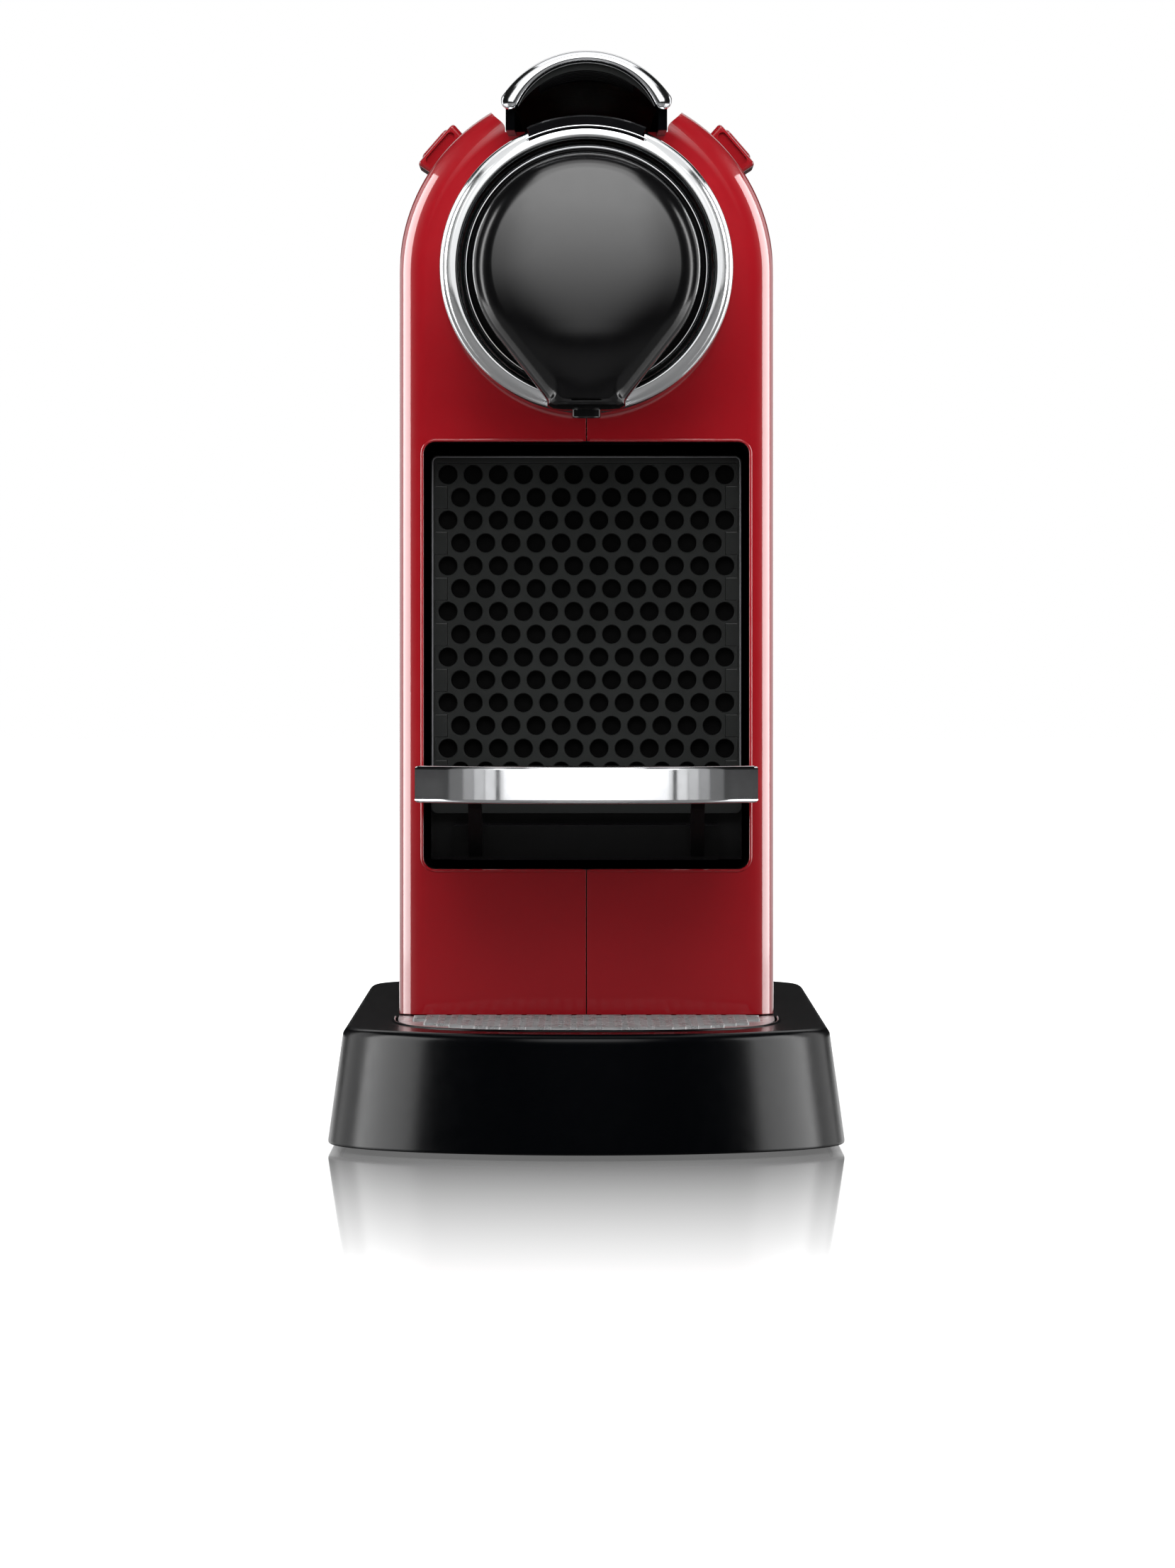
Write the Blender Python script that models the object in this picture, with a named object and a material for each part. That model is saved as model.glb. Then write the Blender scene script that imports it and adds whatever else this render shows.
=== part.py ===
"""Capsule espresso machine, as an assembly of separate pieces.

Frame: X is the width (+X to the right seen from the front), the front faces -Y, +Z is up, and the
origin is at the bottom centre of the whole machine. Lengths below are in millimetres and are turned
into metres when a mesh is made.
"""

import math

import bmesh
import bpy
from mathutils import Matrix, Vector

MM = 0.001
GAP = 0.3

# Whole machine
LENGTH = 372.0
WIDTH = 130.0
HALF_LENGTH = LENGTH / 2
HALF_WIDTH = WIDTH / 2

# Base
FOOT_TOP = 2.0
BASE_BOTTOM = 1.5
BASE_TOP = 31.0
BASE_END_DEPTH = 55.0
BASE_DRAFT = 3.6
BASE_EDGE = 2.6
BASE_WALL = 2.6
WELL_BACK = -83.0
WELL_HALF_WIDTH = 49.0
WELL_DEPTH = 81.0
WELL_POWER = 3.0
GRID_TOP = 31.2

# Body shells
FACE_Y = -74.0
BODY_REAR = 118.0
BODY_HALF_WIDTH = 48.5
BODY_WALL = 2.5
BODY_BOTTOM = BASE_TOP + GAP
ARCH_Z = 223.0
FACE_ROUNDING = 7.0

# Channel in the top of the body, for the lever
CHANNEL_HALF_WIDTH = 24.2
CHANNEL_FLOOR = 257.0
CHANNEL_REAR = 57.3
TROUGH_WALL = 2.3

# Front recess and the unit that slides in it
RECESS_HALF_WIDTH = 42.2
RECESS_BOTTOM = 68.7
RECESS_TOP = 179.4
RECESS_CORNER = 3.2
BAY_FRONT = -70.3
BAY_REAR = 55.0
PANEL_FRONT = -61.5
PANEL_HALF_WIDTH = 40.4
PANEL_TOP = 176.0
PANEL_BOTTOM = 83.0
PANEL_THICK = 2.6
UNIT_REAR = 50.0
UNIT_WALL = 1.8
UNIT_ORIGIN = (0.0, PANEL_FRONT, 90.0)

# Head
HEAD_Z = 223.3
RING_OUTER = 37.5
RING_INNER = 32.6
RING_FRONT = -104.0
SPOUT_BOTTOM = 187.0
SPOUT_HALF_WIDTH = 10.3
DOME_RADIUS = 28.2
DOME_ROLL = 6.5
DOME_FRONT = -110.5
DOME_LEAN = 38.0
PLATE_FRONT = -97.0
OUTLET_Y = -115.0

# Lever and the parts it drives
LEVER_FRONT = -104.0
LEVER_TOP_FRONT = 278.5
LEVER_TOP_REAR = 270.0
LEVER_HALF_FRONT = 21.8
LEVER_HALF_REAR = 19.5
LEVER_ARC_FRONT = 25.6
LEVER_ARC_REAR = 45.0
LEVER_PIVOT = (0.0, 36.0, 254.0)
CRANK_PIN = (0.0, 20.0, 254.0)
CAGE_FRONT = -66.2
LINK_PIN = (0.0, -22.0, HEAD_Z)
CAGE_RADIUS = 21.0

# Buttons on the shoulders
BUTTON_ANGLE = 49.0
BUTTON_Y = -46.0
BUTTON_LENGTH = 24.0
BUTTON_HALF = 7.1
BUTTON_RADIUS = 52.7
BEZEL_RADIUS = 52.2

# Cup support
CUP_HINGE = (0.0, -82.0, 90.0)
BAR_HALF_WIDTH = 42.9
BAR_FRONT = -165.0
BAR_SAGITTA = 18.0
BAR_BOTTOM = 87.4
BAR_TOP = 96.6
BAR_THICK = 3.0

# Tank
TANK_FRONT = 118.6
TANK_REAR = 174.0
TANK_HALF_WIDTH = 47.5
TANK_BOTTOM = 37.5
TANK_TOP = 222.0
TANK_WALL = 2.2
TANK_VALVE = (0.0, 146.0, 37.5)
LID_HINGE = (0.0, 177.5, 222.0)


def clear_scene():
    for obj in list(bpy.data.objects):
        bpy.data.objects.remove(obj, do_unlink=True)


def material(name, colour, roughness, metallic=0.0, alpha=1.0):
    made = bpy.data.materials.new(name)
    made.use_nodes = True
    shader = made.node_tree.nodes["Principled BSDF"]
    shader.inputs["Base Color"].default_value = (*colour, 1.0)
    shader.inputs["Roughness"].default_value = roughness
    shader.inputs["Metallic"].default_value = metallic
    shader.inputs["Alpha"].default_value = alpha
    made.diffuse_color = (*colour, alpha)
    return made


# ---------------------------------------------------------------- outlines

def arc(cx, cy, rx, ry, start, end, steps):
    """Points on an ellipse from one angle to another, in degrees."""
    points = []
    for i in range(steps + 1):
        a = math.radians(start + (end - start) * i / steps)
        points.append((cx + rx * math.cos(a), cy + ry * math.sin(a)))
    return points


def rectangle(x0, y0, x1, y1):
    return [(x0, y0), (x1, y0), (x1, y1), (x0, y1)]


def rounded_rectangle(x0, y0, x1, y1, radius, steps=4):
    corners = [(x1, y0, -90), (x1, y1, 0), (x0, y1, 90), (x0, y0, 180)]
    points = []
    for x, y, start in corners:
        cx = x - radius if x == x1 else x + radius
        cy = y - radius if y == y1 else y + radius
        points += arc(cx, cy, radius, radius, start, start + 90, steps)
    return points


def arch(half_width, bottom, steps=28):
    """A door shape: straight sides and a half circle on top."""
    top = arc(0, ARCH_Z, half_width, half_width, 0, 180, steps)
    return [(-half_width, bottom), (half_width, bottom)] + top


def long_oval(half_width, half_length, end_depth, steps=20):
    """Parallel sides with a half ellipse at each end."""
    straight = half_length - end_depth
    front = arc(0, -straight, half_width, end_depth, 180, 360, steps)
    rear = arc(0, straight, half_width, end_depth, 0, 180, steps)
    return front + rear


def half_oval(half_width, depth, back, steps=24):
    """Half of a squared-off oval, whose straight side faces the body."""
    points = []
    for i in range(steps + 1):
        a = math.pi * (1 + i / steps)
        across, along = math.cos(a), abs(math.sin(a))
        x = math.copysign(abs(across) ** (2 / WELL_POWER), across)
        points.append((half_width * x, back - depth * along ** (2 / WELL_POWER)))
    return points


def drop(radius, foot_half_width, foot, steps=26):
    """A circle round the head's centre, whose straight sides run down to a narrow foot."""
    lean = math.radians(DOME_LEAN)
    side_x, side_z = radius * math.cos(lean), HEAD_Z - radius * math.sin(lean)
    foot_top = max(foot + 2.0, side_z - (side_x - foot_half_width) / math.tan(lean))
    points = [(-foot_half_width, foot), (foot_half_width, foot), (foot_half_width, foot_top)]
    points += arc(0, HEAD_Z, radius, radius, -DOME_LEAN, 180 + DOME_LEAN, steps)
    points.append((-foot_half_width, foot_top))
    return points


# ---------------------------------------------------------------- meshes

def loft(rings):
    """A closed solid through rings of points that all have the same count."""
    bm = bmesh.new()
    rows = [[bm.verts.new(Vector(p) * MM) for p in ring] for ring in rings]
    count = len(rings[0])
    for low, high in zip(rows, rows[1:]):
        for i in range(count):
            j = (i + 1) % count
            bm.faces.new((low[i], low[j], high[j], high[i]))
    bm.faces.new(rows[0][::-1])
    bm.faces.new(rows[-1])
    return bm


def on_axis(point, level, axis):
    """Puts a flat point at a level along an axis: X takes (y, z), Y takes (x, z), Z takes (x, y)."""
    a, b = point
    return {"X": (level, a, b), "Y": (a, level, b), "Z": (a, b, level)}[axis]


def prism(outline, axis, low, high):
    return loft([[on_axis(p, level, axis) for p in outline] for level in (low, high)])


def block(low, high):
    return prism(rectangle(low[0], low[1], high[0], high[1]), "Z", low[2], high[2])


def turned(profile, centre, axis, steps=32):
    """Turns a closed profile of (radius, level) points about an axis through the centre."""
    bm = bmesh.new()
    origin = Vector(centre)
    across = {"X": (1, 2, 0), "Y": (0, 2, 1), "Z": (0, 1, 2)}[axis]
    rows = []
    for i in range(steps):
        a = 2 * math.pi * i / steps
        row = []
        for radius, level in profile:
            p = Vector((0, 0, 0))
            p[across[0]] = origin[across[0]] + radius * math.cos(a)
            p[across[1]] = origin[across[1]] + radius * math.sin(a)
            p[across[2]] = level
            row.append(bm.verts.new(p * MM))
        rows.append(row)
    count = len(profile)
    for i in range(steps):
        here, there = rows[i], rows[(i + 1) % steps]
        for k in range(count):
            m = (k + 1) % count
            if profile[k][0] == 0 and profile[m][0] == 0:
                continue
            bm.faces.new((here[k], here[m], there[m], there[k]))
    bmesh.ops.remove_doubles(bm, verts=bm.verts, dist=1e-6)
    return bm


def cylinder(radius, centre, axis, low, high, steps=24):
    return turned([(0, low), (radius, low), (radius, high), (0, high)], centre, axis, steps)


def pipe(name, points, radius, made):
    """A hose along a smooth curve through the given points."""
    route = []
    ends = [points[0]] + list(points) + [points[-1]]
    for i in range(1, len(ends) - 2):
        p = [Vector(q) for q in ends[i - 1:i + 3]]
        for k in range(8):
            t = k / 8
            route.append(0.5 * (2 * p[1] + (p[2] - p[0]) * t + (2 * p[0] - 5 * p[1] + 4 * p[2] - p[3]) * t * t
                                + (3 * p[1] - p[0] - 3 * p[2] + p[3]) * t ** 3))
    route.append(Vector(points[-1]))
    curve = bpy.data.curves.new(name, "CURVE")
    curve.dimensions = "3D"
    curve.bevel_depth = radius * MM
    curve.bevel_resolution = 2
    curve.use_fill_caps = True
    spline = curve.splines.new("POLY")
    spline.points.add(len(route) - 1)
    for point, place in zip(spline.points, route):
        point.co = (*(place * MM), 1.0)
    curve.materials.append(made)
    obj = bpy.data.objects.new(name, curve)
    bpy.context.scene.collection.objects.link(obj)
    return obj


def solid(name, bm, made, pivot=None):
    """Makes the object, with its origin on its joint's axis where it has one."""
    bmesh.ops.recalc_face_normals(bm, faces=bm.faces)
    place = Vector(pivot) * MM if pivot else Vector((0, 0, 0))
    bmesh.ops.translate(bm, verts=bm.verts, vec=-place)
    mesh = bpy.data.meshes.new(name)
    bm.to_mesh(mesh)
    bm.free()
    mesh.materials.append(made)
    mesh.shade_smooth()
    mesh.set_sharp_from_angle(angle=math.radians(30))
    obj = bpy.data.objects.new(name, mesh)
    obj.location = place
    bpy.context.scene.collection.objects.link(obj)
    return obj


def combine(target, bm, operation):
    """Cuts a tool shape from the target, or joins it on. The tool stays as a hidden helper."""
    tool = solid(target.name + "_tool", bm, target.data.materials[0])
    tool.hide_render = True
    tool.display_type = "WIRE"
    step = target.modifiers.new("shape", "BOOLEAN")
    step.operation = operation
    step.solver = "EXACT"
    step.object = tool


def cut(target, *shapes):
    for bm in shapes:
        combine(target, bm, "DIFFERENCE")


def join(target, *shapes):
    for bm in shapes:
        combine(target, bm, "UNION")


def lean_over(bm, degrees):
    """Leans a shape made at the top of the arch over to one shoulder."""
    turn = Matrix.Rotation(math.radians(degrees), 3, "Y")
    bmesh.ops.rotate(bm, verts=bm.verts, cent=Vector((0, 0, ARCH_Z)) * MM, matrix=turn)
    return bm


# ---------------------------------------------------------------- base

def base_ring(inset, z):
    outline = long_oval(HALF_WIDTH - inset, HALF_LENGTH - inset, BASE_END_DEPTH - inset)
    return [(x, y, z) for x, y in outline]


def make_base(black, rubber, metal):
    rounding = [(BASE_DRAFT + BASE_EDGE * (1 - math.cos(math.radians(a))),
                 BASE_TOP - BASE_EDGE * (1 - math.sin(math.radians(a)))) for a in (0, 30, 60, 90)]
    rings = [base_ring(0, BASE_BOTTOM)] + [base_ring(inset, z) for inset, z in rounding]
    plinth = solid("base_plinth", loft(rings), black)
    inner_top = BASE_TOP - BASE_WALL
    cavity = loft([base_ring(BASE_WALL, BASE_BOTTOM - 1), base_ring(BASE_WALL + BASE_DRAFT, inner_top)])
    well = prism(half_oval(WELL_HALF_WIDTH, WELL_DEPTH, WELL_BACK), "Z", BASE_TOP - 10, BASE_TOP + 5)
    gland_hole = cylinder(6.3, (0, 0, 15), "Y", 170, 190, 16)
    hose_holes = [cylinder(4.0, (x, y, 0), "Z", 20, 40, 12) for x, y in ((0, 146), (22, 92))]
    cut(plinth, cavity, well, gland_hole, *hose_holes)

    plate_outline = long_oval(HALF_WIDTH - 3.4, HALF_LENGTH - 3.4, BASE_END_DEPTH - 3.4)
    solid("base_bottom_plate", prism(plate_outline, "Z", FOOT_TOP + GAP, 4.3), black)
    for end, y in (("front", -135.0), ("rear", 140.0)):
        for side, x in (("left", -38.0), ("right", 38.0)):
            foot = cylinder(7.5, (x, y, 0), "Z", 0, FOOT_TOP, 16)
            solid("foot_" + end + "_" + side, foot, rubber)

    make_drip_tray(black, metal)

    gland = turned([(3.6, 178), (6.0, 178), (6.0, 184.5), (5.0, 185.8), (3.6, 185.8)], (0, 0, 15), "Y", 20)
    solid("cable_gland", gland, rubber)


def make_drip_tray(black, metal):
    """The tray in the base's well and the slotted grid that lies on it."""
    pivot = (0.0, WELL_BACK - 40.0, GRID_TOP)
    outside = prism(half_oval(48.5, 80.5, WELL_BACK - 0.4), "Z", 5.0, GRID_TOP - 1.9)
    tray = solid("base_drip_tray", outside, black, pivot)
    cut(tray, prism(half_oval(46.5, 76.5, WELL_BACK - 2.4), "Z", 7.0, GRID_TOP + 5))
    sheet = prism(half_oval(48.3, 80.3, WELL_BACK - 0.5), "Z", GRID_TOP - 1.6, GRID_TOP)
    grid = solid("base_grid", sheet, metal, pivot)
    for i in range(9):
        y = -93.0 - 7.0 * i
        along = (WELL_BACK - y) / (WELL_DEPTH - 4)
        reach = 43.0 * (1 - along ** WELL_POWER) ** (1 / WELL_POWER) - 1
        cut(grid, block((-reach, y - 1.6, GRID_TOP - 5), (reach, y + 1.6, GRID_TOP + 5)))


# ---------------------------------------------------------------- body

def shell_solid():
    rings = []
    for a in (0, 22.5, 45, 67.5, 90):
        inset = FACE_ROUNDING * (1 - math.sin(math.radians(a)))
        y = FACE_Y + FACE_ROUNDING * (1 - math.cos(math.radians(a)))
        rings.append([(x, y, z) for x, z in arch(BODY_HALF_WIDTH - inset, BODY_BOTTOM)])
    rings.append([(x, BODY_REAR, z) for x, z in arch(BODY_HALF_WIDTH, BODY_BOTTOM)])
    return loft(rings)


def shell_cavity():
    rings = []
    inner = BODY_HALF_WIDTH - BODY_WALL
    for a in (0, 45, 90):
        inset = (FACE_ROUNDING - BODY_WALL) * (1 - math.sin(math.radians(a)))
        y = FACE_Y + BODY_WALL + (FACE_ROUNDING - BODY_WALL) * (1 - math.cos(math.radians(a)))
        rings.append([(x, y, z) for x, z in arch(inner - inset, BODY_BOTTOM - 5)])
    rings.append([(x, BODY_REAR + 5, z) for x, z in arch(inner, BODY_BOTTOM - 5)])
    return loft(rings)


def recess_space(rear):
    """The space of the front recess, back to a depth."""
    half = RECESS_HALF_WIDTH
    outline = rounded_rectangle(-half, RECESS_BOTTOM, half, RECESS_TOP, RECESS_CORNER)
    return prism(outline, "Y", FACE_Y - 10, rear)


def capsule_chute():
    """The way that a used capsule falls, from the brew unit to the container."""
    return block((-20, -62, 170), (20, -30, 200))


def make_shell(name, side, red):
    shell = solid(name, shell_solid(), red)
    near, far = sorted((side * 0.15, -side * 80.0))
    other_half = block((near, -100, 0), (far, 140, 300))
    recess = recess_space(FACE_Y + 12)
    channel = block((-CHANNEL_HALF_WIDTH, FACE_Y - 10, 254.4), (CHANNEL_HALF_WIDTH, CHANNEL_REAR, 300))
    head_hole = cylinder(24.0, (0, 0, HEAD_Z), "Y", FACE_Y - 10, FACE_Y + 12, 32)
    cap_hole = block((-5.6, BUTTON_Y - 10.4, 263), (5.6, BUTTON_Y + 10.4, 280))
    lean_over(cap_hole, side * BUTTON_ANGLE)
    cut(shell, shell_cavity(), other_half, recess, channel, head_hole, cap_hole)


def make_trough(red):
    outer = CHANNEL_HALF_WIDTH - GAP
    inner = outer - TROUGH_WALL
    floor = CHANNEL_FLOOR
    outline = [(-outer, floor - 2), (outer, floor - 2), (outer, floor + 7.3), (inner, floor + 7.3),
               (inner, floor), (-inner, floor), (-inner, floor + 7.3), (-outer, floor + 7.3)]
    trough = solid("lever_trough", prism(outline, "Y", FACE_Y + GAP, CHANNEL_REAR - GAP), red)
    lean = math.degrees(math.acos(outer / 48.2))
    end_outline = [(-outer, floor - 1), (outer, floor - 1)] + arc(0, ARCH_Z, 48.2, 48.2, lean, 180 - lean, 10)
    join(trough, prism(end_outline, "Y", CHANNEL_REAR - 2.5, CHANNEL_REAR - GAP))
    slot = block((-20.0, -66.0, 240), (20.0, -33.0, 300))
    collar_seat = block((-17.0, FACE_Y - 5, 240), (17.0, -60.0, 300))
    drum_space = block((-inner, -12.0, 240), (inner, 54.8, floor + 0.5))
    axle_hole = cylinder(2.9, LEVER_PIVOT, "X", -30, 30, 16)
    cut(trough, slot, collar_seat, drum_space, axle_hole)


def make_body(red, black):
    make_shell("body_shell_left", -1, red)
    make_shell("body_shell_right", 1, red)
    make_trough(red)
    inner = BODY_HALF_WIDTH - BODY_WALL - GAP
    solid("rear_panel", prism(arch(inner, BODY_BOTTOM), "Y", BODY_REAR - 3, BODY_REAR - GAP), black)

    bay_outline = rounded_rectangle(-43.6, 67.2, 43.6, 181.0, 4.5)
    bay = solid("unit_bay", prism(bay_outline, "Y", BAY_FRONT, BAY_REAR), black)
    inside = recess_space(BAY_REAR - 1.8)
    cut(bay, inside, capsule_chute())

    wall = solid("inner_chassis", block((-45.4, 57.0, 31.6), (45.4, 59.5, 185.5)), black)
    join(wall, block((-45.4, -66.0, 183.0), (45.4, 58.0, 185.5)))
    cut(wall, capsule_chute())


# ---------------------------------------------------------------- head

def make_head(chrome, gloss_black, black):
    seat = FACE_Y - GAP
    profile = [(RING_INNER, seat), (RING_OUTER, seat), (RING_OUTER, RING_FRONT + 3.2),
               (RING_OUTER - 0.4, RING_FRONT + 1.9), (RING_OUTER - 1.2, RING_FRONT + 1.1),
               (RING_OUTER - 2.4, RING_FRONT + 0.4), (RING_OUTER - 4.0, RING_FRONT),
               (RING_INNER, RING_FRONT + 1.0)]
    ring = solid("head_ring", turned(profile, (0, 0, HEAD_Z), "Y", 56), chrome)
    cut(ring, block((-17.0, RING_FRONT - 5, 257.4), (17.0, FACE_Y + 5, 270)))

    disc = RING_INNER - 0.4
    plate = turned([(0, PLATE_FRONT), (disc, PLATE_FRONT), (disc, seat), (0, seat)], (0, 0, HEAD_Z), "Y", 48)
    solid("head_plate", plate, gloss_black)
    back = PLATE_FRONT - GAP
    trim = [(30.1, back - 1.3), (31.4, back - 1.3), (31.4, back), (30.1, back)]
    solid("head_trim_ring", turned(trim, (0, 0, HEAD_Z), "Y", 48), chrome)
    make_spout_cover(gloss_black)
    outlet = turned([(2.2, 184.5), (3.7, 184.5), (3.7, 196.0), (2.2, 196.0)], (0, OUTLET_Y, 0), "Z", 16)
    solid("coffee_outlet", outlet, black)
    make_slot_collar(black)


def drop_ring(inset, behind):
    """One outline of the spout cover. Its face tilts up at the top and straightens towards the foot."""
    height = HEAD_Z + DOME_RADIUS - SPOUT_BOTTOM
    ring = []
    for x, z in drop(DOME_RADIUS - inset, SPOUT_HALF_WIDTH - 0.6 * inset, SPOUT_BOTTOM + 0.4 * inset):
        share = (HEAD_Z + DOME_RADIUS - z) / height
        face = DOME_FRONT - height * (0.40 * share - 0.185 * share * share)
        ring.append((x, face + behind, z))
    return ring


def make_spout_cover(gloss_black):
    """The drop-shaped cover. Behind the ring's front it ends above the spout, to clear the ring."""
    back = drop(DOME_RADIUS, 14.0, 197.0)
    rings = [[(x, y, z) for x, z in back] for y in (PLATE_FRONT - GAP, RING_FRONT + 0.4)]
    rings.append([(x, RING_FRONT - 0.4, z) for x, y, z in drop_ring(0, 0)])
    for a in (0, 20, 40, 60, 80, 90):
        lean = math.radians(a)
        rings.append(drop_ring(DOME_ROLL * (1 - math.cos(lean)), 0.9 * DOME_ROLL * (1 - math.sin(lean))))
    cover = solid("spout_cover", loft(rings), gloss_black)
    cut(cover, cylinder(4.05, (0, OUTLET_Y, 0), "Z", 180, 196.5, 16))


def make_slot_collar(black):
    reach = math.degrees(math.asin(15.5 / 38.7))
    band = arc(0, HEAD_Z, 38.7, 38.7, 90 - reach, 90 + reach, 10)
    band += arc(0, HEAD_Z, 34.9, 34.9, 90 + reach, 90 - reach, 10)
    outline = [(x, max(z, 257.8)) for x, z in band]
    collar = solid("slot_collar", prism(outline, "Y", RING_FRONT + 0.6, -60.2), black)
    join(collar, block((-19.4, -65.6, 250.0), (19.4, -33.4, 257.8)))
    cut(collar, block((-17.6, -63.8, 240), (17.6, -35.2, 270)))


# ---------------------------------------------------------------- brew unit

def make_brew_unit(black, steel, grey):
    frame = solid("brew_frame", block((-26.9, -64.0, 186.0), (26.9, 46.0, 248.0)), black)
    join(frame, block((-26.9, 26.0, 230.0), (26.9, 46.0, 259.2)))
    cage_space = block((-24.4, -70.0, 188.5), (24.4, 43.5, 300))
    rear_window = block((-16.0, 40.0, 212.0), (16.0, 50.0, 300))
    axle_hole = cylinder(2.9, LEVER_PIVOT, "X", -30, 30, 16)
    hose_hole = cylinder(2.9, (0, 0, 204), "Y", 40, 50, 12)
    drum_space = block((-24.4, 30.0, 232.0), (24.4, 50.0, 300))
    cut(frame, cage_space, rear_window, drum_space, capsule_chute(), axle_hole, hose_hole)

    plate_outline = rounded_rectangle(-23.5, 199, 23.5, 247, 4)
    plate = solid("extraction_plate", prism(plate_outline, "Y", -70.6, -66.6), steel)
    cut(plate, cylinder(2.5, (0, 0, HEAD_Z), "Y", -75, -60, 12))

    x, y, z = LINK_PIN
    cup = [(0, -36.0), (18.8, -36.0), (18.8, CAGE_FRONT),
           (CAGE_RADIUS, CAGE_FRONT), (CAGE_RADIUS, -33.0), (0, -33.0)]
    cage = solid("capsule_cage", turned(cup, (0, 0, HEAD_Z), "Y", 28), grey, LINK_PIN)
    join(cage, block((-6.5, -34.0, z - 5), (6.5, y + 4, z + 5)))
    cut(cage, block((-3.4, -29.5, z - 12), (3.4, y + 20, z + 12)))
    join(cage, cylinder(2.0, LINK_PIN, "X", -5.5, 5.5, 12))
    make_toggle_link(steel)


def make_toggle_link(steel):
    """Runs from the cage's pin to just short of the crank pin, where the chain is left open."""
    start = Vector(LINK_PIN[1:])
    along = (Vector(CRANK_PIN[1:]) - start).normalized()
    end = start + along * 45.0
    lean = math.degrees(math.atan2(along.y, along.x))
    outline = arc(start.x, start.y, 4.6, 4.6, lean + 60, lean + 300, 10)
    outline += arc(end.x, end.y, 2.5, 2.5, lean - 90, lean + 90, 6)
    link = solid("toggle_link", prism(outline, "X", -3.0, 3.0), steel, LINK_PIN)
    cut(link, cylinder(2.35, LINK_PIN, "X", -10, 10, 12))


# ---------------------------------------------------------------- lever

def lever_stations(start=LEVER_FRONT, last_turn=75):
    """(y, share of the way back, turn about the pivot) of each cross-section."""
    rear = LEVER_PIVOT[1]
    for i in range(7):
        y = start + (rear - start) * i / 6
        yield y, (y - LEVER_FRONT) / (rear - LEVER_FRONT), 0
    for turn in range(15, last_turn + 1, 15):
        yield rear, 1.0, turn


def lever_half_width(share):
    return LEVER_HALF_FRONT + (LEVER_HALF_REAR - LEVER_HALF_FRONT) * share


def arched_section(share, half, depth):
    """The lever's arc across its width, a given depth under the top surface."""
    top = LEVER_TOP_FRONT + (LEVER_TOP_REAR - LEVER_TOP_FRONT) * share
    full = LEVER_ARC_FRONT + (LEVER_ARC_REAR - LEVER_ARC_FRONT) * share
    radius = full - depth
    lean = math.degrees(math.asin(half / radius))
    return arc(0, top - full, radius, radius, 90 - lean, 90 + lean, 10)


def placed_section(points, y, turn):
    pivot = Vector(LEVER_PIVOT)
    spin = Matrix.Rotation(math.radians(-turn), 3, "X")
    return [tuple(pivot + spin @ (Vector((x, y, z)) - pivot)) for x, z in points]


def make_lever(chrome, black, steel):
    rings = []
    for y, share, turn in lever_stations():
        half = lever_half_width(share)
        section = arched_section(share, half, 0.0) + arched_section(share, half - 0.8, 1.7)[::-1]
        rings.append(placed_section(section, y, turn))
    solid("lever_shell", loft(rings), chrome, LEVER_PIVOT)

    rings = []
    for y, share, turn in lever_stations(LEVER_FRONT + 4.0, 60):
        foot = 253.0 if y > 0 and not turn else 258.2
        outer = lever_half_width(share) - 1.1
        inner = outer - 2.2
        section = [(outer, foot)] + arched_section(share, outer, 2.2)
        section += [(-outer, foot), (-inner, foot)]
        section += arched_section(share, inner, 4.4)[::-1] + [(inner, foot)]
        rings.append(placed_section(section, y, turn))
    liner = solid("lever_liner", loft(rings), black, LEVER_PIVOT)
    for side in (-1, 1):
        low, high = sorted((side * 15.9, side * 18.1))
        ear = [(13.0, 261.0), (13.0, 250.2)] + arc(LEVER_PIVOT[1], LEVER_PIVOT[2], 7.5, 7.5, 250, 360, 8)
        join(liner, prism(ear + [(42.0, 260.0)], "X", low, high))
    cut(liner, cylinder(2.8, LEVER_PIVOT, "X", -30, 30, 16))

    solid("lever_axle", cylinder(2.5, LEVER_PIVOT, "X", -27.2, 27.2, 16), steel, LEVER_PIVOT)
    solid("crank_pin", cylinder(2.0, CRANK_PIN, "X", -15.5, 15.5, 12), steel, LEVER_PIVOT)


# ---------------------------------------------------------------- buttons

def shoulder_block(half, y0, y1, low, high, side, steps=4):
    """A block that follows the arch's curve, between two radii, on one shoulder."""
    spread = math.degrees(half / high)
    outline = arc(0, ARCH_Z, high, high, 90 - spread, 90 + spread, steps)
    outline += arc(0, ARCH_Z, low, low, 90 + spread, 90 - spread, steps)
    return lean_over(prism(outline, "Y", y0, y1), side * BUTTON_ANGLE)


def make_buttons(red, black):
    for name, side in (("left", -1), ("right", 1)):
        front, back = BUTTON_Y - BUTTON_LENGTH / 2, BUTTON_Y + BUTTON_LENGTH / 2
        bezel_block = shoulder_block(BUTTON_HALF, front, back, BODY_HALF_WIDTH + 0.4, BEZEL_RADIUS, side)
        bezel = solid("button_bezel_" + name, bezel_block, red)
        cut(bezel, shoulder_block(5.4, front + 1.8, back - 1.8, 45.0, 55.0, side))
        cap = shoulder_block(5.0, front + 2.2, back - 2.2, 44.0, BUTTON_RADIUS, side)
        lean = math.radians(BUTTON_ANGLE)
        pivot = (side * BUTTON_RADIUS * math.sin(lean), BUTTON_Y, ARCH_Z + BUTTON_RADIUS * math.cos(lean))
        solid("button_" + name, cap, red, pivot)
        switch = shoulder_block(4.6, front + 4, back - 4, 38.5, 42.0, side)
        solid("button_switch_" + name, switch, black)


# ---------------------------------------------------------------- maintenance unit and cup support

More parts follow.
